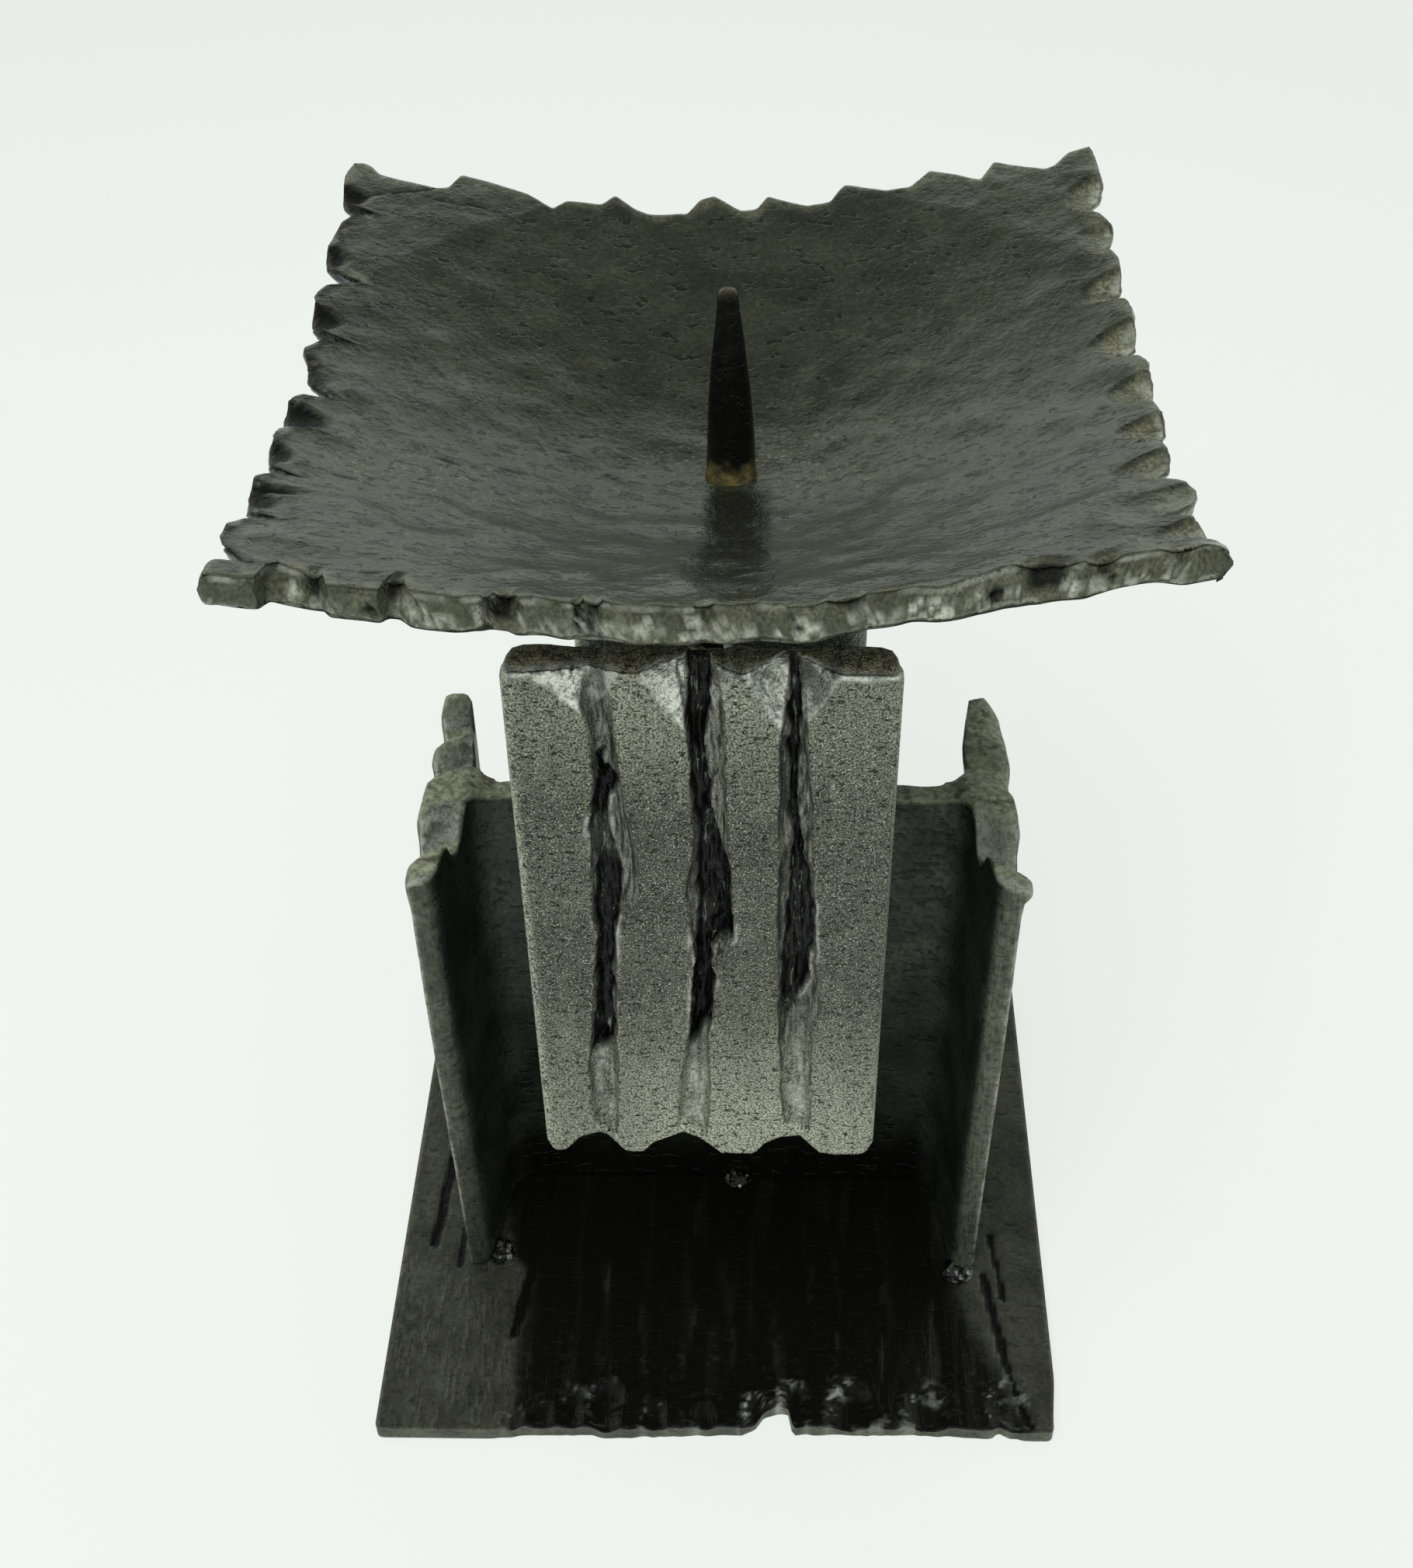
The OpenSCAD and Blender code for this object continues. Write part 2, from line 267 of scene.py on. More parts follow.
# %% [markdown]
# ## Working a skin by moving its points
# Torch and hammer leave marks that no plain solid has. Each piece starts as a
# clean solid with an even skin of small faces, and then its points are moved
# by rules: where a gouge runs, how deep it is, how its lips stand up. Random
# bumps come from a seeded lattice, so they are the same in every run.

# %% Helpers for points
wall_cuts = 6


def points_of(piece):
    points = np.empty(3 * len(piece.data.vertices))
    piece.data.vertices.foreach_get("co", points)
    return points.reshape(-1, 3)


def set_points(piece, points):
    piece.data.vertices.foreach_set("co", points.ravel())
    piece.data.update()


def paint_on(piece, name, amount):
    layer = piece.data.attributes.new(name, "FLOAT", "POINT")
    layer.data.foreach_set("value", np.clip(amount, 0, 1).astype(np.float32))


def rise(value, low, high):
    """0 below low and 1 above high, with a soft step between them."""
    share = np.clip((value - low) / (high - low), 0, 1)
    return share * share * (3 - 2 * share)


def between(value, low_start, low_end, high_start, high_end):
    """1 between two soft steps, and 0 beyond them."""
    return rise(value, low_start, low_end) * (1 - rise(value, high_start, high_end))


def bell(value, middle, width):
    """1 at the middle, fading to nothing over about twice the width."""
    return np.exp(-(((value - middle) / width) ** 2))


def most(first, *others):
    for other in others:
        first = np.maximum(first, other)
    return first


def read_off(value, table):
    """Straight lines between the table's pairs."""
    return np.interp(value, *np.array(table).T)


def bumps(points, size, seed, octaves=1):
    """Soft random hills from -1 to 1 that lie about one size apart."""
    lattice = np.random.default_rng(seed).uniform(-1, 1, (32, 32, 32))
    total = np.zeros(len(points))
    for octave in range(octaves):
        spot = points / size * 2 ** octave + 100.5
        cell = np.floor(spot).astype(int)
        near = spot - cell
        near = near * near * (3 - 2 * near)
        for corner in np.ndindex(2, 2, 2):
            weight = np.prod(np.where(np.array(corner) == 1, near, 1 - near), axis=1)
            i, j, k = ((cell + corner) % 32).T
            total += weight * lattice[i, j, k] / 2 ** octave
    return total


def even_skin(piece, grain):
    """A voxel remesh covers the piece in small even faces, as if it were clay."""
    remesh = piece.modifiers.new("even skin", "REMESH")
    remesh.mode = "VOXEL"
    remesh.voxel_size = grain
    shaped = piece.evaluated_get(bpy.context.evaluated_depsgraph_get())
    piece.data = bpy.data.meshes.new_from_object(shaped)
    piece.modifiers.clear()


def round_corners(x, y, half_x, half_y, radius):
    """Pulls the points near a rectangle's corners in, onto quarter rounds."""
    x_over = np.maximum(abs(x) - half_x + radius, 0)
    y_over = np.maximum(abs(y) - half_y + radius, 0)
    shrink = np.maximum(x_over, y_over) / np.maximum(np.hypot(x_over, y_over), 1e-9)
    corner = (x_over > 0) & (y_over > 0)
    return (np.where(corner, np.sign(x) * (half_x - radius + x_over * shrink), x),
            np.where(corner, np.sign(y) * (half_y - radius + y_over * shrink), y))


def folded_sheet(name, columns, rows, fine_band=0.0):
    """Two square grids joined by a wall. A band along the rim may have finer faces."""
    bm = bmesh.new()
    bmesh.ops.create_grid(bm, x_segments=columns, y_segments=rows, size=1)
    band = [edge for edge in bm.edges
            if min(max(abs(vert.co.x), abs(vert.co.y)) for vert in edge.verts) > 1 - fine_band]
    if fine_band:
        bmesh.ops.subdivide_edges(bm, edges=band, cuts=1, use_grid_fill=True)
    lower = bmesh.ops.duplicate(bm, geom=bm.verts[:] + bm.edges[:] + bm.faces[:])["geom"]
    lower = [part for part in lower if isinstance(part, bmesh.types.BMVert)]
    bmesh.ops.translate(bm, verts=lower, vec=(0, 0, -1))
    bmesh.ops.bridge_loops(bm, edges=[edge for edge in bm.edges if edge.is_boundary])
    upright = [edge for edge in bm.edges if abs(edge.verts[0].co.z - edge.verts[1].co.z) > 0.5]
    bmesh.ops.subdivide_edges(bm, edges=upright, cuts=wall_cuts, use_grid_fill=True)
    bmesh.ops.recalc_face_normals(bm, faces=bm.faces)
    return new_piece(bm, name)


def finish_piece(piece, finish, slot, *nodes):
    piece.data.materials.clear()
    piece.data.materials.append(finish)
    piece.data.shade_smooth()
    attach(piece, "root")
    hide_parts(*nodes)
    print(piece.name, "has", len(piece.data.polygons), "faces")


trial = bumps(np.random.default_rng(1).random((500, 3)), 0.1, 4)
print("bumps stay within one:", abs(trial).max() <= 1)

# %% [markdown]
# ## Waxed and blackened steel
# All the finishes are one recipe: a mill skin with fine grain, soot where the
# torch burned, pale metal where it melted, and a little brown in the hollows.
# The soot also serves as painted shade. The pale metal, the scraped and dull
# layers and the bars' rubbed layer also serve as painted light. Each point of a
# mesh says how burned or melted it is and how much of the other layers it
# takes, and the recipe reads those painted amounts. Grain reads the object's own
# place in space. Sizes in a recipe are in metres, and each pair after a size
# says where patches begin.

# %% What every finish starts from
# A finish names its own skin, its darker patches, its grain size and gloss,
# and whatever else differs from the plain look
# The soot black also colours painted shade
soot_black, pit_black, grain_black = tone(5, 5, 5), tone(10, 10, 9), tone(16, 16, 14)
# The fleck grey is partly painted highlights in the black tears
scrape_black, scale_grey, highlight_fleck_grey = tone(24, 24, 21), tone(62, 63, 54), tone(150, 152, 144)
rust_brown, dust_yellow = tone(70, 68, 48), tone(160, 144, 92)
# Painted light: a pale grey for the bars' painted highlights and lighter ends, and a white for
# painted glints
rubbed_and_lit_grey, glint_white = tone(192, 196, 176), tone(225, 228, 215)
# The scraped, melted and dulled tones also colour painted light
plain_look = dict(
    metal=0.6, run=(1, 1, 0.12), pits=0.35, grain_dark=0.5, grain_height=0.06, glints=0.0,
    brown=0.0, peel=0.0, flecks=0.0, soot_shine=0.5, soot_tone=soot_black, torn=tone(52, 53, 48),
    scraped=tone(136, 138, 124), melted=tone(196, 198, 188), chilled=tone(120, 124, 114),
    dulled=tone(104, 102, 82), dulled_dark=tone(74, 72, 58), wax=(0.92, 1.0, 0.87, 1.0))
print("a finish starts from", len(plain_look), "plain values")


# %% The colour of the skin before it is worn, with painted glints and painted light
def skin_colour(bench, look, grain, pit, flow):
    base = bench.mix(bench.patches(0.012, 0.35, 0.65, detail=4), look.deep, look.skin)
    if look.brown:
        dust = bench.patches(0.0009, 0.6, 0.68, (1, 1.6, 1), 2, 0.7)
        rust = bench.patches(0.007, 0.5, 0.72, (0.7, 1.4, 1), 4, 0.65)
        base = bench.mix(rust * look.brown * 0.6, base, rust_brown)
        dusty = bench.painted("dusty")
        base = bench.mix(dust * (0.15 + dusty) * look.brown, base, dust_yellow)
    # Painted light: the bars' painted highlights and lighter ends, with a little rubbing, mix in a
    # pale grey
    if look.glints:
        base = bench.mix(bench.painted("rubbed_and_lit"), base, rubbed_and_lit_grey)
    # The dull layer is matt metal, and on the beam's front edges it is also painted light
    matt = bench.mix(bench.ease(flow, 0.3, 0.7), look.dulled, look.dulled_dark)
    base = bench.mix(bench.painted("dull_and_lit"), base, matt)
    base = bench.mix(bench.ease(grain, 0.4, 0.62) * look.grain_dark, base, grain_black)
    base = bench.mix(pit * look.pits, base, pit_black)
    # Painted glints: white specks in the grain stand in for the light it catches
    if look.glints:
        glint = bench.patches(look.grain_size * 0.6, 0.62, 0.72, detail=1)
        base = bench.mix(glint * look.glints, base, glint_white)
    return base


# %% The colour where the torch scraped or melted it, which also colours painted light
def worn_colour(bench, look, base, grain, flow):
    scrape, molten = bench.painted("scraped"), bench.painted("molten")
    worn = bench.mix(bench.patches(0.0006, 0.36, 0.66, look.run, 3, 0.6), look.torn, look.scraped)
    # The scraped layer also carries painted light on lit edges, strips and scoops
    base = bench.mix(scrape, base, worn)
    base = bench.mix(scrape * bench.ease(grain, 0.48, 0.6) * 0.55, base, scrape_black)
    cool = bench.mix(bench.patches(0.0024, 0.4, 0.7, detail=3), look.melted, look.chilled)
    # The molten layer also carries painted highlights on edges, bites and walls
    base = bench.mix(molten * bench.ease(flow, 0.2, 0.5), base, cool)
    scale = bench.patches(0.0006, 0.5, 0.62, rough=0.6)
    return bench.mix(molten * scale * 0.5, base, scale_grey)


# %% The recipe
def steel(name, **own):
    look = SimpleNamespace(**{**plain_look, **own})
    bench = Bench(bpy.data.materials.new(name))
    burned, molten, scrape, dull_and_lit = (bench.painted(layer)
                                    for layer in ("burned", "molten", "scraped", "dull_and_lit"))
    grain = bench.speckle(bench.spot(), look.grain_size, 3, 0.6)
    pit = bench.patches(max(look.grain_size * 1.6, 0.0009), 0.58, 0.64, (0.5, 1, 1), 2, 0.6)
    streak = bench.speckle(bench.spot(look.run), 0.0012, 3, 0.65)
    flow = bench.speckle(bench.spot(), 0.0016, 3, 0.6)
    base = worn_colour(bench, look, skin_colour(bench, look, grain, pit, flow), grain, flow)
    rough = look.gloss + bench.ease(grain, 0.3, 0.8) * 0.12 + dull_and_lit * 0.2 - scrape * 0.08
    height = grain * look.grain_height - pit * 0.1 + molten * flow * 0.3
    height = height + (scrape + burned) * streak * 0.4
    if look.peel:
        height = height + bench.speckle(bench.spot(), 0.0042, 3, 0.55) * look.peel
    bump = bench.node("ShaderNodeBump", None, {"Height": height, "Distance": mm, "Strength": 1.0})
    metallic = (look.metal + molten * (0.95 - look.metal)) * (1.0 - dull_and_lit * 0.9)
    plain = bench.node("ShaderNodeBsdfPrincipled", None, {
        "Base Color": base, "Roughness": rough, "Metallic": metallic, "Normal": bump,
        "Specular Tint": look.wax})
    # The soot shader darkens real soot and painted shade alike. Its grey flecks are partly real
    # silver specks and partly painted highlights in the glossy black tears
    char = bench.mix(bench.ease(streak, 0.6, 0.7) * look.flecks, look.soot_tone, highlight_fleck_grey)
    soot_and_shade = bench.node("ShaderNodeBsdfPrincipled", None, {
        "Base Color": char, "Roughness": 0.24, "Metallic": 0.2, "Normal": bump,
        "Specular IOR Level": look.soot_shine})
    share = bench.ease(burned, 0.0, 1.0)
    both = bench.node("ShaderNodeMixShader", None, {0: share, 1: plain, 2: soot_and_shade})
    bench.node("ShaderNodeOutputMaterial", None, {"Surface": both})
    return bench.owner


# %% The finishes of this piece
base_steel = steel(
    "blackened plate", skin=tone(92, 94, 82), deep=tone(70, 72, 63), grain_size=0.0011, gloss=0.36,
    grain_dark=0.3, run=(1, 0.15, 1), soot_shine=0.22, soot_tone=tone(15, 15, 14),
    torn=tone(60, 61, 54), scraped=tone(106, 108, 96))
beam_steel = steel(
    "mill-scaled beam", skin=tone(70, 74, 64), deep=tone(44, 47, 41), grain_size=0.0013, gloss=0.4,
    pits=0.5, dulled=tone(156, 160, 134), dulled_dark=tone(126, 130, 108))
# The bars take painted glints, painted highlights in their flecks and the painted light of their
# rubbed layer
bar_steel = steel(
    "grained bar", skin=tone(107, 109, 96), deep=tone(90, 92, 80), grain_size=0.00042, gloss=0.4,
    metal=0.55, pits=0.9, grain_dark=0.9, grain_height=0.3, glints=0.85, brown=0.25, flecks=0.8,
    torn=tone(46, 47, 42), scraped=tone(142, 144, 132), melted=tone(244, 245, 234),
    chilled=tone(176, 186, 180), dulled=tone(206, 200, 154))
dish_steel = steel(
    "hammered pan", skin=tone(44, 49, 39), deep=tone(35, 39, 32), grain_size=0.0011, gloss=0.12,
    metal=0.05, pits=0.6, grain_dark=0.4, grain_height=0.16, run=(1, 1, 0.6), brown=0.45,
    peel=0.22, soot_shine=0.16, soot_tone=tone(14, 15, 14), torn=tone(74, 75, 61),
    scraped=tone(120, 119, 98), melted=tone(212, 218, 202), chilled=tone(146, 152, 136),
    wax=(0.83, 0.92, 0.74, 1.0))
spike_steel = steel(
    "black spike", skin=tone(11, 11, 10), deep=tone(7, 7, 7), grain_size=0.0012, gloss=0.3,
    metal=0.1, pits=0.1, dulled=tone(104, 94, 52), wax=(0.4, 0.4, 0.38, 1.0))
weld_steel = steel(
    "weld bead", skin=tone(150, 152, 142), deep=tone(96, 98, 90), grain_size=0.0012, gloss=0.35)
print("six finishes are mixed")

# %% [markdown]
# ## The two hanging bars
# Each bar is flat stock with rolled edges. A cutting torch was drawn down its
# face three times: every pass left a shallow gouge, a deeper torn channel
# inside it, a melted fan where the flame started, and an arch where it ran
# out. Two grids joined by a wall give the stock, because their rows of faces
# can crowd together where a gouge runs, and then its points are pressed in.

# %% Measures of a bar
bar_low, bar_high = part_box("front_bar")
bar_middle_x = (bar_low.x + bar_high.x) / 2
bar_thick = bar_high.y - bar_low.y
bar_front_edge = 1.6 * mm
bar_back_edge = 5.5 * mm
bar_corner = 2.5 * mm
bar_end_round = 0.5 * mm

# Height above the floor, left edge and right edge of each mark, from the
# bar's middle line, all in millimetres and read from top to bottom
gouges = (
    ((208, -19.8, -15.6), (203, -20.5, -15.0), (196, -19.2, -14.5), (186, -18.4, -14.1),
     (179, -19.4, -13.3), (167, -20.0, -11.8), (155, -20.2, -12.0), (152, -20.5, -15.6),
     (148, -19.9, -16.1), (126, -21.7, -17.1), (110, -23.1, -17.3), (86, -23.2, -18.5)),
    ((211, -3.4, 1.2), (207, -4.4, 2.8), (200, -2.9, 3.8), (186, -2.0, 4.1), (168, -2.0, 4.4),
     (160, -3.4, 4.8), (147, -2.5, 5.0), (142, -2.2, 4.1), (139, -1.9, 0.7), (133, -2.2, 1.5),
     (118, -3.8, 0.3), (104, -5.7, 0.6), (86, -6.4, -0.3)),
    ((210, 14.2, 16.0), (203, 14.1, 17.1), (195, 13.1, 17.5), (176, 13.0, 18.9),
     (148, 13.1, 19.9), (136, 13.3, 20.6), (127, 13.2, 21.3), (120, 13.5, 20.0),
     (104, 14.2, 20.2), (87, 15.4, 20.1)))
tears = (
    ((187, -17.6, -16.6), (184, -18.2, -14.1), (179, -19.4, -16.4), (173, -20.3, -16.8),
     (164, -18.8, -15.1), (156, -19.9, -15.0), (148, -19.7, -16.1), (126, -20.9, -18.0),
     (116, -22.3, -17.5), (112, -22.8, -21.6)),
    ((212, -2.5, 1.2), (201, -2.7, 1.5), (193, -2.1, 0.1), (179, -1.3, 1.1), (173, -0.9, 2.1),
     (164, -1.5, 4.5), (150, -1.2, 4.9), (146, -2.1, 4.8), (142, -2.3, 0.8), (131, -2.5, 1.4),
     (122, -3.1, 0.6), (114, -3.8, -3.2)),
    ((210, 14.2, 15.8), (203, 14.4, 16.5), (186, 14.7, 16.0), (169, 15.2, 17.2),
     (164, 15.0, 18.4), (148, 14.7, 19.5), (134, 13.9, 19.1), (123, 13.4, 14.9),
     (116, 13.8, 14.7)))
gouge_depth = 2.2
tear_depth = (2.8, 3.4, 2.8)

# How far the lower end is lifted, along the bar, in millimetres
foot_arches = ((-33, 0.6), (-30.5, 0), (-29, 0.6), (-26.1, 4.5), (-22.3, 6.3), (-20.5, 5.6),
               (-17.1, 0.4), (-15.2, 0), (-13.3, 0.3), (-11.3, 3.3), (-5.2, 6.8), (-2.1, 5.1),
               (2.5, 0), (8.0, 0), (9.2, 0.3), (11.2, 3.4), (14.3, 5.5), (18.2, 6.1),
               (22.2, 0.6), (25.4, 0), (30.1, 0.3), (33, 1.4))

# Left end, middle and right end at the top edge, lower tip and depth of each
# melted fan
melts = ((-26.9, -18.6, -13.0, 199, 2.2), (-10.6, -1.6, 6.0, 195, 6.4),
         (7.4, 14.4, 23.2, 194, 6.6))
print("the bars are", round(bar_thick / mm, 1), "mm thick, with", len(gouges), "gouges each")


# %% Cut the stock
# Each row of faces is narrower where a gouge will run, and the two ends of the
# wall turn round the bar's rolled edges
bar_columns, bar_rows = 158, 262
gouge_lines = (-18, 0.5, 16.5)
gouge_zone = 5.0
fine_share = 0.5
face_half = 30


def crowd(share):
    """Even steps from -1 to 1 become steps that crowd together where the gouges run."""
    place = np.linspace(-face_half, face_half, 1201)
    near = np.max([np.exp(-((place - line) / gouge_zone) ** 4) for line in gouge_lines], axis=0)
    packed = np.cumsum(fine_share + near)
    packed = (packed - packed[0]) / (packed[-1] - packed[0]) * 2 - 1
    return np.interp(share, packed, place / face_half)


def bar_stock(name):
    piece = folded_sheet(name + "_gouged", bar_columns, bar_rows)
    low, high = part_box(name)
    facing = 1 if name == "front_bar" else -1
    across, up, deep = points_of(piece).T
    middle, half = (low + high) / 2, (high - low) / 2
    turn = math.pi * -deep
    depth = -half.y * np.cos(turn)
    edge = np.where(depth < 0, bar_front_edge, bar_back_edge)
    round_in = np.clip(abs(depth) - (half.y - edge), 0, edge)
    side_in = edge - np.sqrt(edge ** 2 - round_in ** 2)
    end_in = bar_end_round * abs(np.cos(turn)) ** 4 * (abs(up) > 0.999)
    x, z = crowd(across) * (half.x - side_in), up * half.z - np.sign(up) * end_in
    x, z = round_corners(x, z, half.x, half.z, bar_corner)
    set_points(piece, np.column_stack([middle.x + x, middle.y + depth * facing, middle.z + z]))
    if facing < 0:
        piece.data.flip_normals()
    return piece


# %% Read a mark between its two edges
def across_mark(mark, across, up, wobble):
    """How far inside a mark a point is: 0 and 1 at its edges. It also says how far along."""
    rows = np.array(mark)[::-1]
    left = np.interp(up, rows[:, 0], rows[:, 1]) + wobble
    right = np.interp(up, rows[:, 0], rows[:, 2]) + wobble
    inside = (across - left) / np.maximum(right - left, 0.2)
    low, high = rows[0, 0], rows[-1, 0]
    return inside, right - left, between(up, low - 2, low + 2, high + 2, high + 5)


# %% Lay out a bar's face
def bar_face(piece, facing, seed):
    """Each point's place on the bar in millimetres, the noises, and the marks still to come."""
    points = points_of(piece)
    face = SimpleNamespace(points=points, across=(points[:, 0] - bar_middle_x) / mm,
                           up=points[:, 2] / mm, foot=bar_low.z / mm, top=bar_high.z / mm)
    face.front = 1 - np.clip((points[:, 1] * facing - bar_low.y) / bar_thick, 0, 1)
    spot = np.column_stack([face.across * mm, 0 * face.up, face.up * mm])
    face.jitter = 0.35 * bumps(spot * (1, 1, 0.7), 2.6 * mm, seed, 3)
    face.strokes = bumps(spot * (1, 1, 0.1), 0.8 * mm, seed + 1, 2)
    face.flakes = bumps(spot * (1, 1, 0.35), 2.4 * mm, seed + 4, 3)
    face.wrinkle = bumps(spot * (1, 1, 0.6), 2.6 * mm, seed + 6, 3)
    face.folds = bumps(spot * (1, 1, 0.5), 3.2 * mm, seed + 7, 2)
    face.waves = bumps(spot, 3 * mm, seed + 3, 2)
    face.press, face.burned, face.scraped, face.molten = np.zeros((4, len(points)))
    return face


# %% Draw the torch down the face
def draw_gouge(face, gouge):
    """A shallow bowl with sooty borders and raised lips, painted shade down the left of its upper
    part, and a painted highlight down its middle where the torch left.
    """
    up, strokes, flakes = face.up, face.strokes, face.flakes
    inside, width, ends = across_mark(gouge, face.across, up, face.jitter)
    bowl = np.sqrt(np.clip(4 * inside * (1 - inside), 0, 1)) * ends
    face.press += gouge_depth * bowl * (1 + 0.3 * flakes)
    face.press += 0.22 * strokes * rise(bowl, 0.1, 0.6)
    clean = rise(bowl, 0.2, 0.6) * (0.4 + 0.6 * rise(up, 112, 140))
    face.scraped = most(face.scraped, clean)
    # Painted shade down the left of the gouge's upper part
    shade = (1 - rise(inside, 0.25, 0.6)) * rise(bowl, 0.05, 0.3) * rise(up, 118, 134) * ends
    borders = bell((inside - 0.02) * width, 0, 0.28) + 0.7 * bell((inside - 0.98) * width, 0, 0.25)
    face.burned = most(face.burned, 0.62 * shade * rise(strokes + 0.5 * flakes, -0.5, 0.25),
                       0.8 * borders * ends * rise(flakes + 0.3 * strokes, -0.45, 0.1))
    # Painted highlight down the middle of the gouge's lower end
    runout_highlight = bell(inside, 0.55, 0.28) * ends * (1 - rise(up, 104, 122))
    face.molten = most(face.molten, 0.55 * runout_highlight * rise(strokes + flakes, -0.6, 0.4))
    lip = np.where(inside < 0.5, -inside, inside - 1) * np.maximum(width, 1)
    face.press -= 0.32 * bell(lip, 0.25, 0.35) * ends * (0.7 + 0.5 * flakes)


# Heights between which each tear is burned black, bottom and top
black_runs = (((111, 162), (176, 187)), ((112, 170), (174, 214)), ((128, 170), (178, 208)))


def draw_tear(face, tear, depth, runs):
    """A deeper ragged channel, black where the flame stood longest, with bright lips."""
    up, strokes, flakes = face.up, face.strokes, face.flakes
    wobble = 1.8 * face.jitter + 0.35 * flakes
    inside, width, ends = across_mark(tear, face.across, up, wobble)
    pit = np.clip(4 * inside * (1 - inside), 0, 1) ** 0.35 * ends * rise(width, 0.2, 1.4)
    black = most(*(between(up + 6 * face.jitter, low - 4, low + 2, high - 3, high + 5)
                   for low, high in runs))
    face.press += depth * pit * (0.5 + 0.5 * black) * (1 + 0.35 * flakes) + 0.3 * strokes * pit
    char = rise(pit, 0.2, 0.7) * (0.6 + 0.4 * black) * (0.85 + 0.4 * strokes + 0.3 * black)
    mottled = between(inside, 0.0, 0.15, 0.85, 1) * rise(strokes + flakes, -0.5, 0.3)
    mottled *= between(up, 146, 152, 190, 200) * ends
    face.burned = most(face.burned, char, 0.8 * mottled)
    gleam = bell(inside, -0.1, 0.1) + bell(inside, 1.1, 0.1)
    gleam *= 0.5 * ends * rise(width, 0.8, 2) * rise(flakes + strokes, -0.1, 0.4)
    face.molten = most(face.molten, gleam)


# %% Melt the fans at the top
def melt_fans(face):
    across, up, top, wrinkle = face.across, face.up, face.top, face.wrinkle
    fans = 0 * up
    for left, middle, right, tip_up, deep in melts:
        share = np.clip((up - tip_up) / (top - tip_up), 0, 1)
        side = np.where(across < middle, middle - left, right - middle)
        inward = 1 - abs(across - middle + 0.8 * wrinkle) / np.maximum(side * share ** 0.8, 0.1)
        cone = np.clip(inward, 0, 1) ** 0.8 * share ** 1.3
        fans = most(fans, deep * cone * (1 + 0.5 * wrinkle))
        inside = rise(inward + 0.15 * wrinkle, -0.08, 0.06) * (share > 0.02)
        # Painted light and shade: each fan is paler on its left facet and painted darker on its
        # right one
        shaded_facet = rise(across + 0.9 * wrinkle, middle - 0.4, middle + 0.4)
        face.molten = most(face.molten, inside * (1 - 0.5 * shaded_facet))
        face.burned = most(face.burned, 0.45 * inside * shaded_facet * rise(wrinkle, 0.1, 0.4))
    lip_line = bell(top - 0.9 - up + 0.8 * wrinkle, 0, 0.7)
    lip_line *= rise(wrinkle + 0.7 * (abs(across - 1) > 21), -0.1, 0.25)
    face.molten = most(face.molten, 0.9 * lip_line) * (1 - 0.9 * face.burned)
    # Painted shade: thin dark lines along the folds in each fan
    fold_shade = bell(face.folds, 0, 0.05) * rise(fans, 0.3, 1.2)
    face.burned = most(face.burned, 0.75 * fold_shade)
    face.press = most(face.press, fans + 0.4 * face.press)
    sag = 0.5 * rise(fans, 0.2, 2) * rise(up, top - 4, top) * (1 + wrinkle)
    face.points[:, 2] -= mm * sag


# %% Paint the bar
def paint_bar(piece, face):
    across, up, foot, top = face.across, face.up, face.foot, face.top
    on_face = rise(face.front, 0.75, 0.95)
    on_top = rise(up, top - 0.9, top - 0.2) * (1 - rise(face.front, 0.9, 1.0) * face.molten)
    paint_on(piece, "burned", face.burned * on_face)
    paint_on(piece, "molten", face.molten * on_face)
    paint_on(piece, "scraped", face.scraped * (1 - face.burned) * (1 - face.molten) * on_face)
    paint_on(piece, "dull_and_lit", on_top * (0.85 + 0.3 * face.flakes))
    # Painted light in the rubbed layer: a highlight down the bar's left edge, a lighter lower end
    # and a lighter top band, with a little real rubbing from the flakes
    half_bar = (bar_high.x - bar_low.x) / 2 / mm
    rim_light = 0.9 * (1 - rise(across, 1.0 - half_bar, 1.8 - half_bar))
    rim_light *= 1 - 0.6 * rise(up, 170, 200)
    low_light = 0.65 + 0.5 * rise(across, -25, 0) * (1 - 0.4 * rise(across, 18, 26))
    low_light *= 0.9 * (1 - rise(up, foot, foot + 56))
    high_light = 0.4 * rise(up, 172, 205) * (1 + 0.5 * between(across, -25, -15, 8, 20))
    paint_on(piece, "rubbed_and_lit", low_light + high_light + rim_light + 0.12 * face.flakes)


# %% Work both bars
def gouge_bar(piece, facing, seed):
    face = bar_face(piece, facing, seed)
    for gouge, tear, depth, runs in zip(gouges, tears, tear_depth, black_runs):
        draw_gouge(face, gouge)
        draw_tear(face, tear, depth, runs)
    melt_fans(face)
    lift = read_off(face.across, foot_arches)
    lift *= (1 - rise(face.up, face.foot, face.foot + 16)) * (0.45 + 0.55 * face.front)
    face.points[:, 2] += mm * lift
    face.press += 0.06 * face.waves
    face.points[:, 1] += facing * mm * face.press * face.front ** 1.5
    set_points(piece, face.points)
    paint_bar(piece, face)


front_bar = bar_stock("front_bar")
gouge_bar(front_bar, 1, 11)
finish_piece(front_bar, bar_steel, "bar_steel", "front_bar")
rear_bar = bar_stock("rear_bar")
gouge_bar(rear_bar, -1, 23)
finish_piece(rear_bar, bar_steel, "bar_steel", "rear_bar")

# %% [markdown]
# ## The beam stub
# The upright is a sawn and torch-cut end of rolled beam: two flanges that get
# thinner towards their toes, a thin web, and soft roots where they meet. Its
# outline needs twelve points, an extrusion and two bevels. The torch bit
# round scoops out of the flange tops, and the metal there is bare.

# %% Roll the section
beam_low, beam_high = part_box("beam")
beam_top = beam_high.z
flange_slope_share = 0.14
flange_thick = 7.7 * mm
web_thick = 5.1 * mm
root_round = 5.1 * mm
toe_round = 3.1 * mm
beam_skin = 0.9 * mm
print("the stub stands", round((beam_top - beam_low.z) / mm), "mm tall")


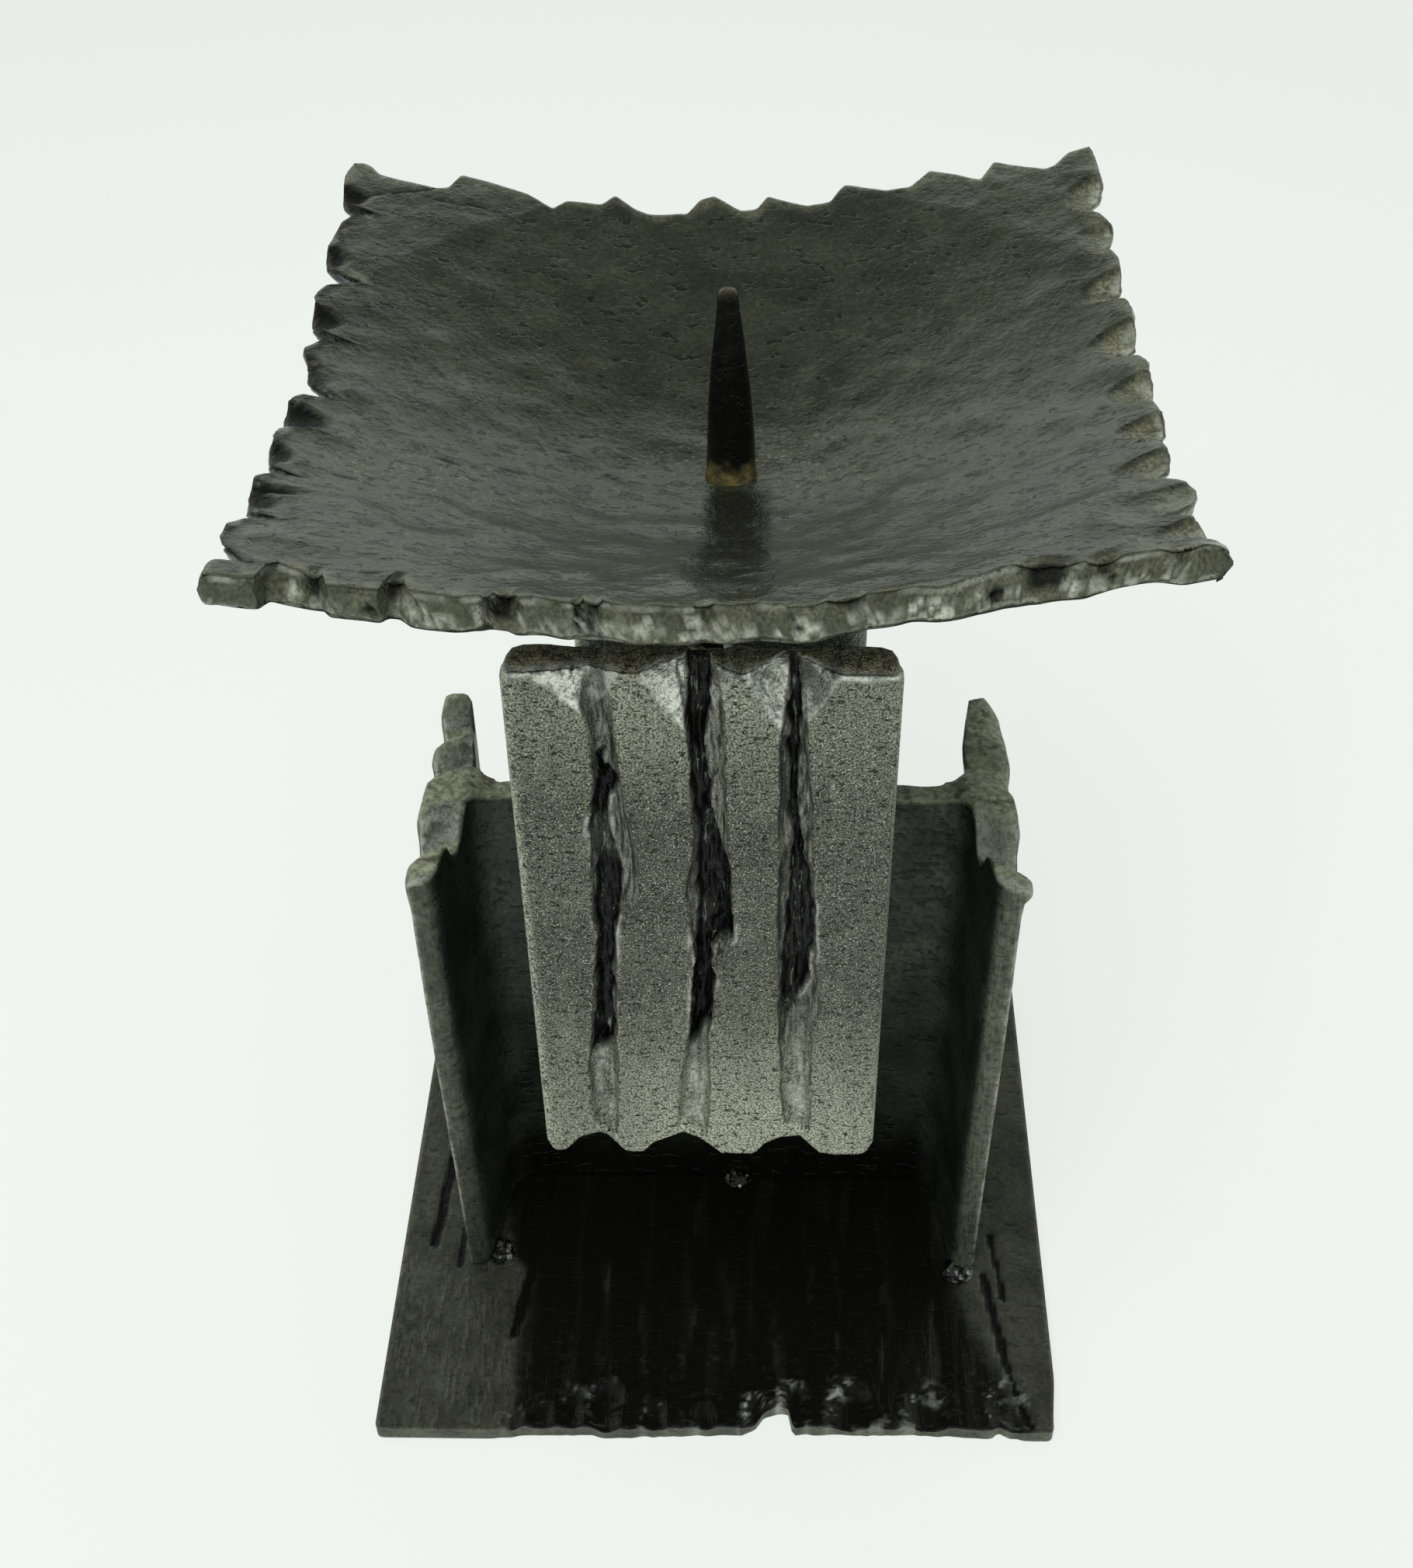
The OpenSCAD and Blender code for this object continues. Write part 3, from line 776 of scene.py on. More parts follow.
def beam_stock():
    half_deep, half_wide = beam_high.x, beam_high.y
    quarter = half_deep - flange_thick - flange_slope_share * half_wide / 2
    root_x = quarter + flange_slope_share * web_thick / 2
    toe_x = quarter + flange_slope_share * half_wide
    corner = [(root_x, web_thick / 2), (toe_x, half_wide), (half_deep, half_wide)]
    outline = corner + [(x, -y) for x, y in reversed(corner)]
    outline += [(-x, -y) for x, y in corner] + [(-x, y) for x, y in reversed(corner)]
    bm = bmesh.new()
    face = bm.faces.new([bm.verts.new((x, y, beam_low.z)) for x, y in outline])
    raised = bmesh.ops.extrude_face_region(bm, geom=[face])
    tops = [part for part in raised["geom"] if isinstance(part, bmesh.types.BMVert)]
    bmesh.ops.translate(bm, verts=tops, vec=(0, 0, beam_top - beam_low.z))
    for x, y, round_off in ((root_x, web_thick / 2, root_round), (toe_x, half_wide, toe_round)):
        upright = [edge for edge in bm.edges
                   if edge.verts[0].co.xy == edge.verts[1].co.xy
                   and abs(abs(edge.verts[0].co.x) - x) < mm
                   and abs(abs(edge.verts[0].co.y) - y) < mm]
        bmesh.ops.bevel(bm, geom=upright, offset=round_off, offset_type="OFFSET", segments=6,
                        profile=0.5, affect="EDGES", material=-1)
    bmesh.ops.recalc_face_normals(bm, faces=bm.faces)
    piece = new_piece(bm, "beam_bitten")
    even_skin(piece, beam_skin)
    return piece


# %% Cut the top down
# Place along the flange at its inner side, depth and half width of each
# scoop, in millimetres. At the outer side a scoop lies further forward.
left_bites = ((21.5, 6.8, 6.4), (8.6, 6.2, 4.2), (-13.0, 8.8, 7.2))
right_bites = ((8.0, 2.6, 6.5), (-14.0, 9.4, 6.8))
bite_slant = 5.0
web_drop = 2.5
bite_reach = 26
# How far the torch cut the right flange's rear half down at its outer side
rear_fall = 6.5


def scooped_tops(across, along, outer, rough):
    """Depth of the scoops that the torch bit out of the flange tops."""
    bite = 0 * across
    for side, bites in ((-1, left_bites), (1, right_bites)):
        for place, depth, half_width in bites:
            away = abs(along - place + bite_slant * outer + 0.8 * rough) / half_width
            drop = depth * (1 - rise(away, 0.1, 1.15)) * (0.8 + 0.3 * outer)
            bite = np.where(across * side > 0, most(bite, drop), bite)
    return bite


def worn_tops(across, along):
    """The rear fall of the right flange, and the worn edges of both."""
    fall = rear_fall * (across > 0) * rise(along, 8, 31) * np.clip((across - 56.8) / 3.2, 0, 1)
    worn = 1.6 * np.clip((abs(across) - 57.5) / 2.5, 0, 1) ** 2
    return fall + worn + 1.4 * np.clip((abs(along) - 26) / 3, 0, 1) ** 2


# %% Bite the beam
# How far the flanges' front edges lean outward at the top, left and right
flange_spread = (1.0, 0.6)
burr_out = 1.2


def bite_beam(piece):
    points = points_of(piece)
    across, along, up = points.T / mm
    right, side, top = across > 0, np.sign(across), beam_top / mm
    flange = rise(abs(across), 46, 52)
    outer = np.clip((abs(across) - 53) / 7, 0, 1)
    rough = bumps(points, 5 * mm, 31, 2)
    bite = scooped_tops(across, along, outer, rough)
    cut = web_drop * (1 - flange) + flange * (bite + worn_tops(across, along)) + 0.5 * rough
    near_top = rise(up, top - 9, top - 1)
    ridge = flange * outer * (1 - rise(bite, 0.5, 3.5)) * near_top
    burr = right * (1 - rise(along, -27, -19)) * rise(up, top - 4.5, top - 0.5) * outer
    spread = np.where(right, flange_spread[1], flange_spread[0]) * flange
    spread *= rise(up, 5, 105) * (1 - rise(along, -18, 14))
    outward = 0.5 * ridge + burr_out * burr + 0.25 * rough * near_top * outer + spread
    thinned = 1.3 * rise(along, 6, 14) * right * (1 - outer) * flange * near_top
    points[:, 0] += mm * (side * outward - thinned)
    points[:, 2] -= mm * cut * rise(up, top - bite_reach, top)
    points += 0.04 * mm * bumps(points, 6 * mm, 32, 2)[:, None]
    set_points(piece, points)
    # The bare tops are painted molten where their faces turn to the front: partly bare molten
    # metal, partly a painted highlight
    slope = np.empty(points.size)
    piece.data.vertices.foreach_get("normal", slope)
    facing = -slope.reshape(-1, 3)[:, 1] + 0.5 * bumps(points, 3 * mm, 33, 2)
    front_lit_melt = rise(facing, 0.35, 0.6) * flange * np.where(right, 0.7, 1)
    paint_beam(piece, across, along, up, flange, rough, front_lit_melt)


# %% Paint the beam
def paint_beam(piece, across, along, up, flange, rough, front_lit_melt):
    right, top = across > 0, beam_top / mm
    bare = rise(up, top - 1.2, top - 0.3)
    skin = 1 - bare
    # Painted shade on the front of the web behind the front bar
    shade_behind_bar = between(across, -60, -40, -20, 25) * (along < 0)
    # Painted light: the flanges' front edges are painted paler, the right ones more than the left
    front_edge = flange * (1 - rise(along, -28.6, -27.5)) * skin
    # Painted highlight along the outer front corners of the flanges
    corner_highlight = rise(abs(across), 58.8, 59.6) * (1 - rise(along, -28.4, -27))
    corner_highlight *= rise(rough, -0.6, 0.2) * skin
    # Painted shade: the front of the web is painted darker towards its foot
    shade_at_web_foot = 0.8 * (1 - flange) * (along < 0) * (1 - rise(up, 8, 44))
    paint_on(piece, "molten", most(0.75 * bare * front_lit_melt, 0.6 * corner_highlight))
    # The front edges' painted light goes into the dull and scraped layers
    paint_on(piece, "dull_and_lit", most(bare * (1 - 0.6 * front_lit_melt), np.where(right, 0.24, 0.12) * front_edge))
    paint_on(piece, "scraped", np.where(right, 0.25, 0.15) * front_edge)
    paint_on(piece, "burned", most(0.45 * shade_behind_bar, shade_at_web_foot) * skin)


beam = beam_stock()
bite_beam(beam)
finish_piece(beam, beam_steel, "beam_steel", "beam")

# %% [markdown]
# ## The base plate
# The plate is thin flat bar. Its front was washed with the torch, which left
# dark channels that run in from the edge, bright scooped bites along it and
# one deep nick. Two grids joined by a wall give the sheet, with finer faces
# towards the front, and its points are pressed in.

# %% Cut the plate
plate_low, plate_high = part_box("base_plate")
plate_thick = (plate_high.z - plate_low.z) / mm
plate_corner = 1.5
plate_cells = 190
plate_edge_round = 0.5
# A power over 1 makes the faces finer towards the front
front_fine = 1.35
# Place across, place along the depth, radius, depth and brightness of each bite
bright_bites = ((9.5, -66.5, 4.6, 1.6, 1.0), (17.5, -62.6, 4.4, 1.4, 0.9),
                (30.0, -64.5, 6.2, 2.0, 0.9), (47.9, -65.0, 6.0, 1.9, 0.8),
                (66.4, -63.6, 5.8, 1.7, 0.9), (-45.3, -69, 2.6, 0.8, 0.7),
                (-39.3, -68.0, 3.4, 1.0, 0.3), (-32.5, -64.8, 3.8, 1.3, 0.5),
                (-25.4, -63.8, 5.0, 1.6, 0.7), (-13.7, -67.5, 3.6, 1.1, 0.5),
                (-3.1, -68.5, 3.4, 1.0, 0.4), (38.9, -70.5, 3.2, 1.4, 0.2))
# The soot marks outside the washed middle: two ends and half width of each
soot_strokes = ((-67.8, 2, -69.0, -23, 1.3), (-61.7, -12, -62.4, -29, 0.9),
                (-42.3, 0, -44.7, -28, 1.6), (-44.7, -28, -47.5, -47.5, 1.4),
                (62.2, -30, 66.2, -55, 1.2), (66.2, -55, 70.3, -69, 0.7),
                (64.8, -18, 66.6, -36, 0.6))
# Faint rills that the torch left in the soot: place, start, end
rills = ((-26.8, -60, -18), (-18.1, -64, -8), (-5.8, -58, -6), (3.5, -62, -20), (13.0, -60, -2),
         (21.5, -58, -26), (27.5, -56, -10), (38.5, -62, -22), (50.5, -62, -12))
# Along the front edge, how far the outline is bitten in
front_nick = ((5.6, 0), (8.5, 1.4), (10.8, 4.4), (15.8, 5.4), (16.6, 4.6), (17.0, 0),
              (62.5, 0), (64.0, 1.6), (66.0, 0.6), (67.5, 0))
# Along the front edge, how far the sawn edge stands forward of square
front_skew = ((-76.5, 2.5), (-51, 2.3), (-41, 1.3), (-30, 1.0), (-25, 1.5), (-14, 1.0),
              (5, 0.4), (26, -0.2), (48, -0.4), (66, 0.1), (76.5, 0.2))
# The two bounds of the washed middle: place along the depth, then across
washed_left = ((-70, -46.5), (-50, -46.5), (-32, -45), (-26, -50), (0, -56))
washed_right = ((-70, 73), (-55, 66), (-37, 58), (0, 54))
print("the plate is", round(plate_thick, 1), "mm thick, with", len(bright_bites), "bright bites")


# %% Lay the sheet on the plate's outline
def lay_plate(flat):
    """Round corners, the nick, and a front edge that was sawn a little out of square."""
    half_wide, half_deep = plate_high.x / mm, plate_high.y / mm
    steps = ((flat[:, 1] + 1) / 2) ** front_fine
    across, along = round_corners(flat[:, 0] * half_wide, -half_deep + 2 * half_deep * steps,
                                  half_wide, half_deep, plate_corner)
    plate = SimpleNamespace(down=-flat[:, 2], at_front=flat[:, 1] < -0.99)
    plate.from_edge = np.minimum(half_wide - abs(across), half_deep - abs(along))
    plate.spot = np.column_stack([across, along, 0 * across])
    plate.rough = bumps(plate.spot, 5, 41, 3)
    nick = read_off(across + 0.4 * plate.rough, front_nick)
    ragged = 0.35 * rise(across, -52, -46) * bumps(plate.spot, 3, 42, 2)
    front = -half_deep
    skew = read_off(across, front_skew) * (1 - rise(along, front, front + 28))
    plate.along = along + (nick + ragged) * (1 - rise(along, front, front + 12)) - skew
    narrow = 1.2 * rise(across, 40, 76) * (1 - rise(plate.along, front, front + 15))
    plate.across = across - narrow
    plate.edge = plate.along < front + 1.5 - skew
    return plate


# %% Press the torch's rills and strokes
def press_soot(plate):
    across, along, spot = plate.across, plate.along, plate.spot
    left, right = read_off(along, washed_left), read_off(along, washed_right)
    plate.middle = between(across + 1.2 * plate.rough, left - 2, left + 2, right - 7, right + 4)
    plate.fine = bumps(spot * (1, 0.25, 1), 1.6, 43, 3)
    plate.press = 0.3 * plate.middle * bumps(spot * (1, 0.15, 1), 2.4, 46, 3)
    sway = 0.9 * bumps(spot * (0, 0.3, 1), 5, 47, 2)
    plate.groove, plate.stroke = np.zeros((2, len(across)))
    for x, start, end in rills:
        line = bell(across - x + sway, 0, 0.7) * between(along, start, start + 8, end - 8, end)
        plate.groove = most(plate.groove, line)
    for x, y, end_x, end_y, half_width in soot_strokes:
        run = np.array((end_x - x, end_y - y))
        share = np.clip(((across - x) * run[0] + (along - y) * run[1]) / (run @ run), 0, 1)
        away = np.hypot(across - x - share * run[0], along - y - share * run[1])
        line = 1 - rise(away + 0.3 * plate.fine, half_width * 0.7, half_width * 1.2)
        plate.stroke = most(plate.stroke, line)
    plate.press += 0.6 * plate.groove + 0.5 * plate.stroke


# %% Press the bright bites
def press_bites(plate):
    across, along, rough = plate.across, plate.along, plate.rough
    plate.bright = 0 * across
    plate.crumbs = bumps(plate.spot, 1.1, 44, 3)
    for x, y, radius, depth, shine in bright_bites:
        behind = most(along - y, 0.35 * (along - y))
        away = np.hypot(across - x, behind * 0.9) / radius + 0.22 * rough + 0.1 * plate.crumbs
        plate.press += depth * (1 - rise(away, 0.2, 0.95)) - 0.3 * bell(away, 1.0, 0.13)
        # Each bite's bright wall is partly bare metal and partly a painted highlight, painted only
        # on its lit side
        lit_side = rise((x - across + 0.8 * (along - y)) / radius + 0.8 * rough, -0.5, 0.7)
        wall = bell(away, 0.75, 0.3) * lit_side * rise(plate.crumbs + 0.4 * rough, -0.1, 0.35)
        plate.bright = most(plate.bright, shine * wall)


# %% Wash the plate with the torch
def wash_plate(piece):
    plate = lay_plate(points_of(piece))
    press_soot(plate)
    press_bites(plate)
    down, press = plate.down, plate.press
    top = down < 0.5 / (wall_cuts + 1)
    fold = 0.6 * plate_edge_round * (1 - np.clip(plate.from_edge / plate_edge_round, 0, 1)) ** 2
    wall_press = press * (1 - down) ** 1.5 * (down < 1)
    height = plate_thick * (1 - down) - np.where(top, press + fold, wall_press)
    place = np.column_stack([plate.across, plate.along, np.maximum(height, 0)])
    set_points(piece, place * mm)
    paint_plate(piece, plate, top)


# %% Paint the plate
def paint_plate(piece, plate, top):
    middle, fine, bright = plate.middle, plate.fine, plate.bright
    edge_gleam = 0.6 * plate.edge * rise(bumps(plate.spot, 3, 45, 3), 0.2, 0.6)
    near_front = 1 - rise(plate.along, -58, -34)
    specks = 0.35 * plate.groove * rise(fine, 0, 0.5)
    specks += 0.25 * middle * rise(plate.crumbs, 0.3, 0.7) * near_front
    specks += 0.16 * rise(bumps(plate.spot * (1, 0.14, 1), 3.2, 48, 3), 0.1, 0.6)
    # Painted shade: a darker strip along the right of the plate
    right_strip_shade = 0.25 * (1 - middle) * rise(plate.across, 50, 60)
    # The washed middle is black scale from the torch and partly a painted reflection of the dark
    # beam and pan above it
    soot_and_shade = most(middle * (0.97 - specks), plate.stroke, right_strip_shade)
    soot_and_shade *= 1 - 0.75 * (plate.down > 0.2) * plate.at_front
    paint_on(piece, "burned", soot_and_shade * (1 - bright) * (1 - 0.85 * edge_gleam))
    paint_on(piece, "molten", most(bright, 0.45 * edge_gleam * middle))
    # Painted light: the plate's left strip is painted paler than its right one
    lit = np.where(plate.across < 0, 0.6, 0.1)
    paint_on(piece, "scraped", lit * (1 - middle) * top * rise(fine, -0.3, 0.5))


base_plate = folded_sheet("base_plate_washed", plate_cells, plate_cells)
wash_plate(base_plate)
finish_piece(base_plate, base_steel, "base_steel", "base_plate")

# %% [markdown]
# ## The hammered pan
# The pan was sunk from square plate over a round stake, so it has a belly, a
# straight flank and a flatter brim, all dimpled by the hammer. Its rim was
# nibbled with a torch: deep notches leave rounded lobes at the sides and a
# saw edge at the back. Two grids joined by a wall give the sheet. Its border
# is led along the four nibbled edges, and one rule bends every point.

# %% Measures of the pan
pan_half = 75.0
pan_thick = 6.0
pan_thin_share = 0.08
belly_reach = 34.0
flank_angle = math.radians(20.3)
brim_reach = 78.0
brim_angle = math.radians(12)
pan_floor = 5.6
pan_seat = Vector((1.5, 0, 204)) * mm
pan_lean = math.radians(-3.9)
pan_roll = math.radians(-1.4)
pan_cells = 140
rim_band = 0.16
edge_reach = 16.0
rim_round = 1.3
# Steps along an edge, and over how many of them its corners are worn round
edge_steps, edge_wear = 1200, 7
# On the underside the front edge lies nearer to this line, by this share
front_line, front_share = -75.5, 0.5
# How far the torch leaned in the side notches, left and right
torch_slant = (4.4, 3.2)
pan_frame = (Matrix.Translation(pan_seat) @ Matrix.Rotation(pan_lean, 4, "X")
             @ Matrix.Rotation(pan_roll, 4, "Y"))

# The four nibbled edges, each a walk from corner to corner in the pan's own
# millimetres: across and along for a row of notches and tips
left_edge = (
    (-73.9, -76.3), (-74.1, -72.5), (-73.5, -70.3), (-69.2, -69.2), (-73.2, -65.2),
    (-74.7, -61.1), (-74.7, -56.5), (-72.5, -53.4), (-67.6, -52.2), (-72.2, -51.4),
    (-73.0, -49.4), (-74.0, -43.6), (-74.2, -38.6), (-72.4, -36.5), (-68.0, -35.9),
    (-72.5, -34.8), (-73.4, -32.5), (-74.0, -27.3), (-74.3, -21.0), (-72.8, -18.5),
    (-67.4, -17.6), (-73.3, -16.6), (-74.3, -14.0), (-74.6, -8.0), (-73.0, -5.6), (-68.8, -4.2),
    (-72.5, 0.3), (-74.3, 6.2), (-75.8, 10.4), (-73.0, 15.1), (-68.2, 16.6), (-74.2, 17.5),
    (-75.5, 19.7), (-76.1, 22.7), (-76.6, 30.0), (-75.4, 33.2), (-69.4, 36.0), (-75.4, 39.0),
    (-76.6, 41.5), (-76.9, 45.5), (-76.7, 50.0), (-75.9, 56.0), (-74.4, 59.0), (-70.2, 60.8),
    (-76.0, 62.8), (-77.1, 65.0), (-77.6, 69.5), (-77.6, 74.5), (-76.4, 78.4))
right_edge = (
    (75.0, -77.0), (75.1, -71.5), (74.4, -68.3), (70.8, -67.2), (73.0, -65.7), (74.1, -63.5),
    (74.0, -60.7), (72.6, -58.2), (68.8, -56.8), (71.9, -54.5), (74.3, -51.5), (75.2, -47.8),
    (73.0, -44.6), (69.2, -42.4), (72.2, -38.1), (73.2, -34.5), (72.3, -30.4), (69.0, -28.0),
    (72.2, -25.5), (73.8, -21.5), (74.2, -17.5), (73.6, -13.6), (70.4, -12.0), (73.6, -9.1),
    (74.2, -6.0), (74.6, 1.0), (73.7, 3.7), (70.0, 5.6), (73.1, 9.6), (74.3, 14.8),
    (74.3, 21.8), (73.6, 23.9), (70.0, 25.2), (72.8, 28.0), (74.2, 33.0), (74.3, 37.5),
    (73.2, 41.1), (70.4, 42.2), (72.8, 43.8), (74.0, 47.4), (74.1, 51.0), (72.6, 54.5),
    (69.2, 57.0), (73.0, 62.2), (74.2, 66.5), (74.2, 70.8), (74.0, 75.0), (73.2, 79.3))
back_edge = (
    (-76.4, 78.4), (-74.1, 79.2), (-72.4, 78.4), (-70.5, 75.9), (-67.3, 74.8), (-59.2, 72.7),
    (-56.5, 73.4), (-54.4, 78.5), (-49.5, 77.0), (-43.8, 75.0), (-40.6, 73.8), (-35.3, 69.4),
    (-32.6, 72.3), (-25.6, 72.2), (-23.0, 74.9), (-18.5, 71.6), (-16.1, 70.5), (-8.3, 70.9),
    (-5.7, 75.0), (-2.9, 75.7), (2.7, 71.6), (5.8, 72.2), (8.0, 75.4), (10.5, 74.2),
    (16.0, 71.8), (20.7, 72.4), (23.6, 76.9), (31.7, 73.5), (36.7, 73.9), (40.9, 78.9),
    (46.5, 76.2), (50.7, 73.2), (53.7, 79.0), (58.2, 76.7), (63.3, 73.7), (65.3, 74.4),
    (68.4, 78.5), (73.2, 79.3))
front_edge = (
    (-73.9, -76.3), (-69.1, -76.0), (-66.2, -75.0), (-65.2, -67.8), (-60.5, -70.2),
    (-57.0, -70.6), (-55.7, -74.6), (-48.3, -74.4), (-47.4, -69.9), (-45.7, -69.6),
    (-43.7, -73.9), (-35.2, -75.5), (-33.0, -74.4), (-31.6, -71.8), (-29.3, -72.0),
    (-27.6, -74.9), (-20.2, -74.6), (-19.0, -71.9), (-15.4, -73.0), (-13.8, -74.2),
    (-5.8, -74.0), (-2.4, -74.6), (-0.8, -71.8), (3.3, -74.0), (7.9, -73.5), (11.9, -75.2),
    (15.2, -76.6), (18.1, -73.4), (22.6, -73.0), (27.2, -73.0), (33.9, -73.6), (37.4, -72.0),
    (43.4, -68.0), (50.3, -67.2), (55.4, -70.6), (59.0, -69.2), (66.8, -69.6), (71.1, -71.0),
    (75.0, -77.0))
print("the nibbled rim has", len(left_edge + right_edge + back_edge + front_edge), "turns")


# %% Lead the border along a nibbled edge
def walk_edge(edge, share):
    """The point at a share of an edge's own length, with its corners worn round."""
    dots = np.array(edge)
    run = np.concatenate([[0], np.cumsum(np.hypot(*np.diff(dots, axis=0).T))])
    even = np.linspace(0, run[-1], edge_steps)
    worn = np.hanning(2 * edge_wear + 1)
    sides = []
    for column in dots.T:
        line = np.interp(even, run, column)
        line = np.pad(line, edge_wear, mode="reflect", reflect_type="odd")
        smooth = np.convolve(line, worn / worn.sum(), "valid")
        sides.append(np.interp(share, even / run[-1], smooth))
    return np.column_stack(sides)


def lead_border(across, along, edges):
    """Moves a square grid so that its four sides lie on the four edges."""
    up, over = (along + 1) / 2, (across + 1) / 2
    square = pan_half * np.column_stack([across, along])
    near = [1 - rise(pan_half * (1 - side * value), 0, edge_reach)
            for side, value in ((-1, across), (1, across), (-1, along), (1, along))]
    total = square.copy()
    for edge, weight, share, axis, side in zip(edges, near, (up, up, over, over), (0, 0, 1, 1),
                                               (-1, 1, -1, 1)):
        plain = square.copy()
        plain[:, axis] = side * pan_half
        total += weight[:, None] * (walk_edge(edge, share) - plain)
    for x_side, y_side in ((-1, -1), (1, -1), (-1, 1), (1, 1)):
        corner = np.array(edges[x_side > 0])[0 if y_side < 0 else -1]
        both = near[x_side > 0] * near[2 + (y_side > 0)]
        total -= both[:, None] * (corner - pan_half * np.array((x_side, y_side)))
    return total


# %% Bend the sheet
def pan_height(reach):
    round_radius = belly_reach / math.sin(flank_angle)
    fall = np.sqrt(round_radius ** 2 - np.minimum(reach, belly_reach) ** 2)
    belly = pan_floor + round_radius - fall
    flank = np.clip(reach - belly_reach, 0, brim_reach - belly_reach) * math.tan(flank_angle)
    brim = np.maximum(reach - brim_reach, 0) * math.tan(brim_angle)
    return belly + flank + brim


def pan_tilt(reach):
    belly = np.arcsin(np.minimum(reach, belly_reach) * math.sin(flank_angle) / belly_reach)
    return belly - rise(reach, brim_reach - 5, brim_reach + 5) * (flank_angle - brim_angle)


def dimples(x, y, seed, spread, count, depth):
    """Each blow leaves a shallow round dish, and where two meet a soft ridge stands."""
    blows = np.random.default_rng(seed).uniform(-pan_half - 5, pan_half + 5, (count, 2))
    deepest = np.zeros(len(x))
    for blow_x, blow_y in blows:
        away = ((x - blow_x) ** 2 + (y - blow_y) ** 2) / spread ** 2
        deepest += np.exp(-6 * away)
    return -depth * np.log(deepest + 1e-4) / 6


# %% The marks of torch and hammer
# Each scoop beside a notch: place along the side, half width and reach inwards
# from the rim, then depth at the rim, in millimetres
left_scoops = ((66, 3.5, 6, 2.4), (43, 3.5, 5, 1.6), (22, 4, 6, 2.4), (3, 5, 6, 1.0),
               (-13, 4.5, 9, 2.4), (-30, 3.5, 6, 1.4), (-46, 4, 7, 1.6), (-42.4, 1.3, 13, 1.2),
               (-61, 4, 5, 0.8))
right_scoops = ((62.5, 5.5, 8, 2.4), (46.8, 4.5, 8, 2.2), (29, 5, 8, 2.4), (11.5, 5, 9, 2.6),
                (-7.5, 5, 8, 3.0), (-22.5, 4.5, 8, 3.0), (-38, 4, 11, 1.8), (-51, 5, 12, 1.2),
                (-63, 4, 9, 2.4))
# Each cup in the front edge: place, half width, depth, and how far down the
# wall it runs
front_cups = ((-58.4, 1.5, 1.5, 0.8), (-46.6, 1.8, 1.6, 0.55), (-32.4, 0.9, 1.2, 1.0),
              (-30.0, 2.0, 1.6, 0.8), (-19.2, 0.8, 1.4, 0.8), (-17.0, 1.6, 1.3, 1.0),
              (-0.6, 1.6, 1.0, 0.6), (12.0, 0.4, 0.7, 1.0), (20.5, 3.2, 1.2, 0.5),
              (50.0, 4.5, 1.6, 0.8), (58.0, 2.6, 1.2, 0.6), (69.0, 3.0, 1.0, 0.8))
# Dark cracks in the skin: place across and along, half length and slant
cracks = ((-47, -14, 2.6, 0.15), (-41.6, -13.2, 1.8, -0.1), (-36.5, -10.4, 2.4, 0.1),
          (-18.8, -4.6, 3.0, -0.6), (24.9, -53.2, 2.0, 0.1), (-50, -68, 1.6, 0.2),
          (-29.5, 2.1, 1.6, -0.2), (43.6, -20.5, 1.4, 0.3), (19.7, -13.4, 1.6, 0.0),
          (-61, -31, 1.8, 0.2), (52, -34, 1.5, 0.3), (-24.7, 8.2, 2.2, -0.3),
          (-71.0, 67.6, 3.2, 0.45), (-63.6, 70.1, 4.8, 0.41), (-55.6, 67.6, 3.3, -0.24),
          (-50.0, 67.3, 2.9, -0.21))
# Dark holes in the front wall: place, share of the way down and radius
wall_holes = ((42.6, 0.62, 1.5), (-49.8, 0.55, 1.2), (-31.0, 0.5, 1.1), (13.2, 0.6, 0.8),
              (59.5, 0.7, 1.0))
# Place, width and strength of the bright patches on the front wall, partly pale patina and partly
# painted highlights
front_gleams = ((-73, 0.4, 0.5), (-61, 1.2, 0.6), (-56.5, 1.8, 0.5), (-44.6, 1.0, 0.7),
                (-40, 3.0, 0.6), (-33.6, 0.6, 0.7), (-26.8, 0.9, 0.6), (-22, 1.6, 0.4),
                (-18.2, 1.0, 0.9), (-12, 4.0, 0.6), (-2.2, 1.0, 0.7), (3.0, 3.0, 0.5),
                (11.2, 0.5, 0.9), (15, 1.6, 0.9), (24, 3.0, 0.6), (31.6, 2.4, 1.0),
                (38.5, 2.6, 0.9), (45.0, 0.8, 0.7), (54.5, 1.6, 0.8), (60, 3.0, 0.5),
                (68, 1.0, 0.7))
# Where a front corner curls up: height, then place and reach across and along.
# The third curl is in the underside alone, and the right one drifts outward
# from the top to the underside.
left_curl = (0.7, -73, 5, -73, 6)
right_curl = (2.4, 71, 5, -75, 5)
under_curl = (1.6, 62, 5.5, -73, 8)
right_curl_drift = 5.5
# Across the front, how far the underside was cut away upright
front_undercut = ((-51, 0.95), (-40, 0.4), (-15, 0.1), (15, 0.1), (26, 0.6), (33, 1.0))


# %% Scoop beside the notches
def scoop_out(along, from_side, scoops):
    """Half cones that open towards the rim and end in a point further in."""
    depth = np.zeros(len(along))
    for place, half_width, reach, deep in scoops:
        near = np.clip(1 - from_side / reach, 0, 1)
        width = half_width * np.sqrt(near) + 0.01
        bowl = np.clip(1 - ((along - place) / width) ** 2, 0, 1)
        depth = np.maximum(depth, deep * near * np.sqrt(bowl))
    return depth


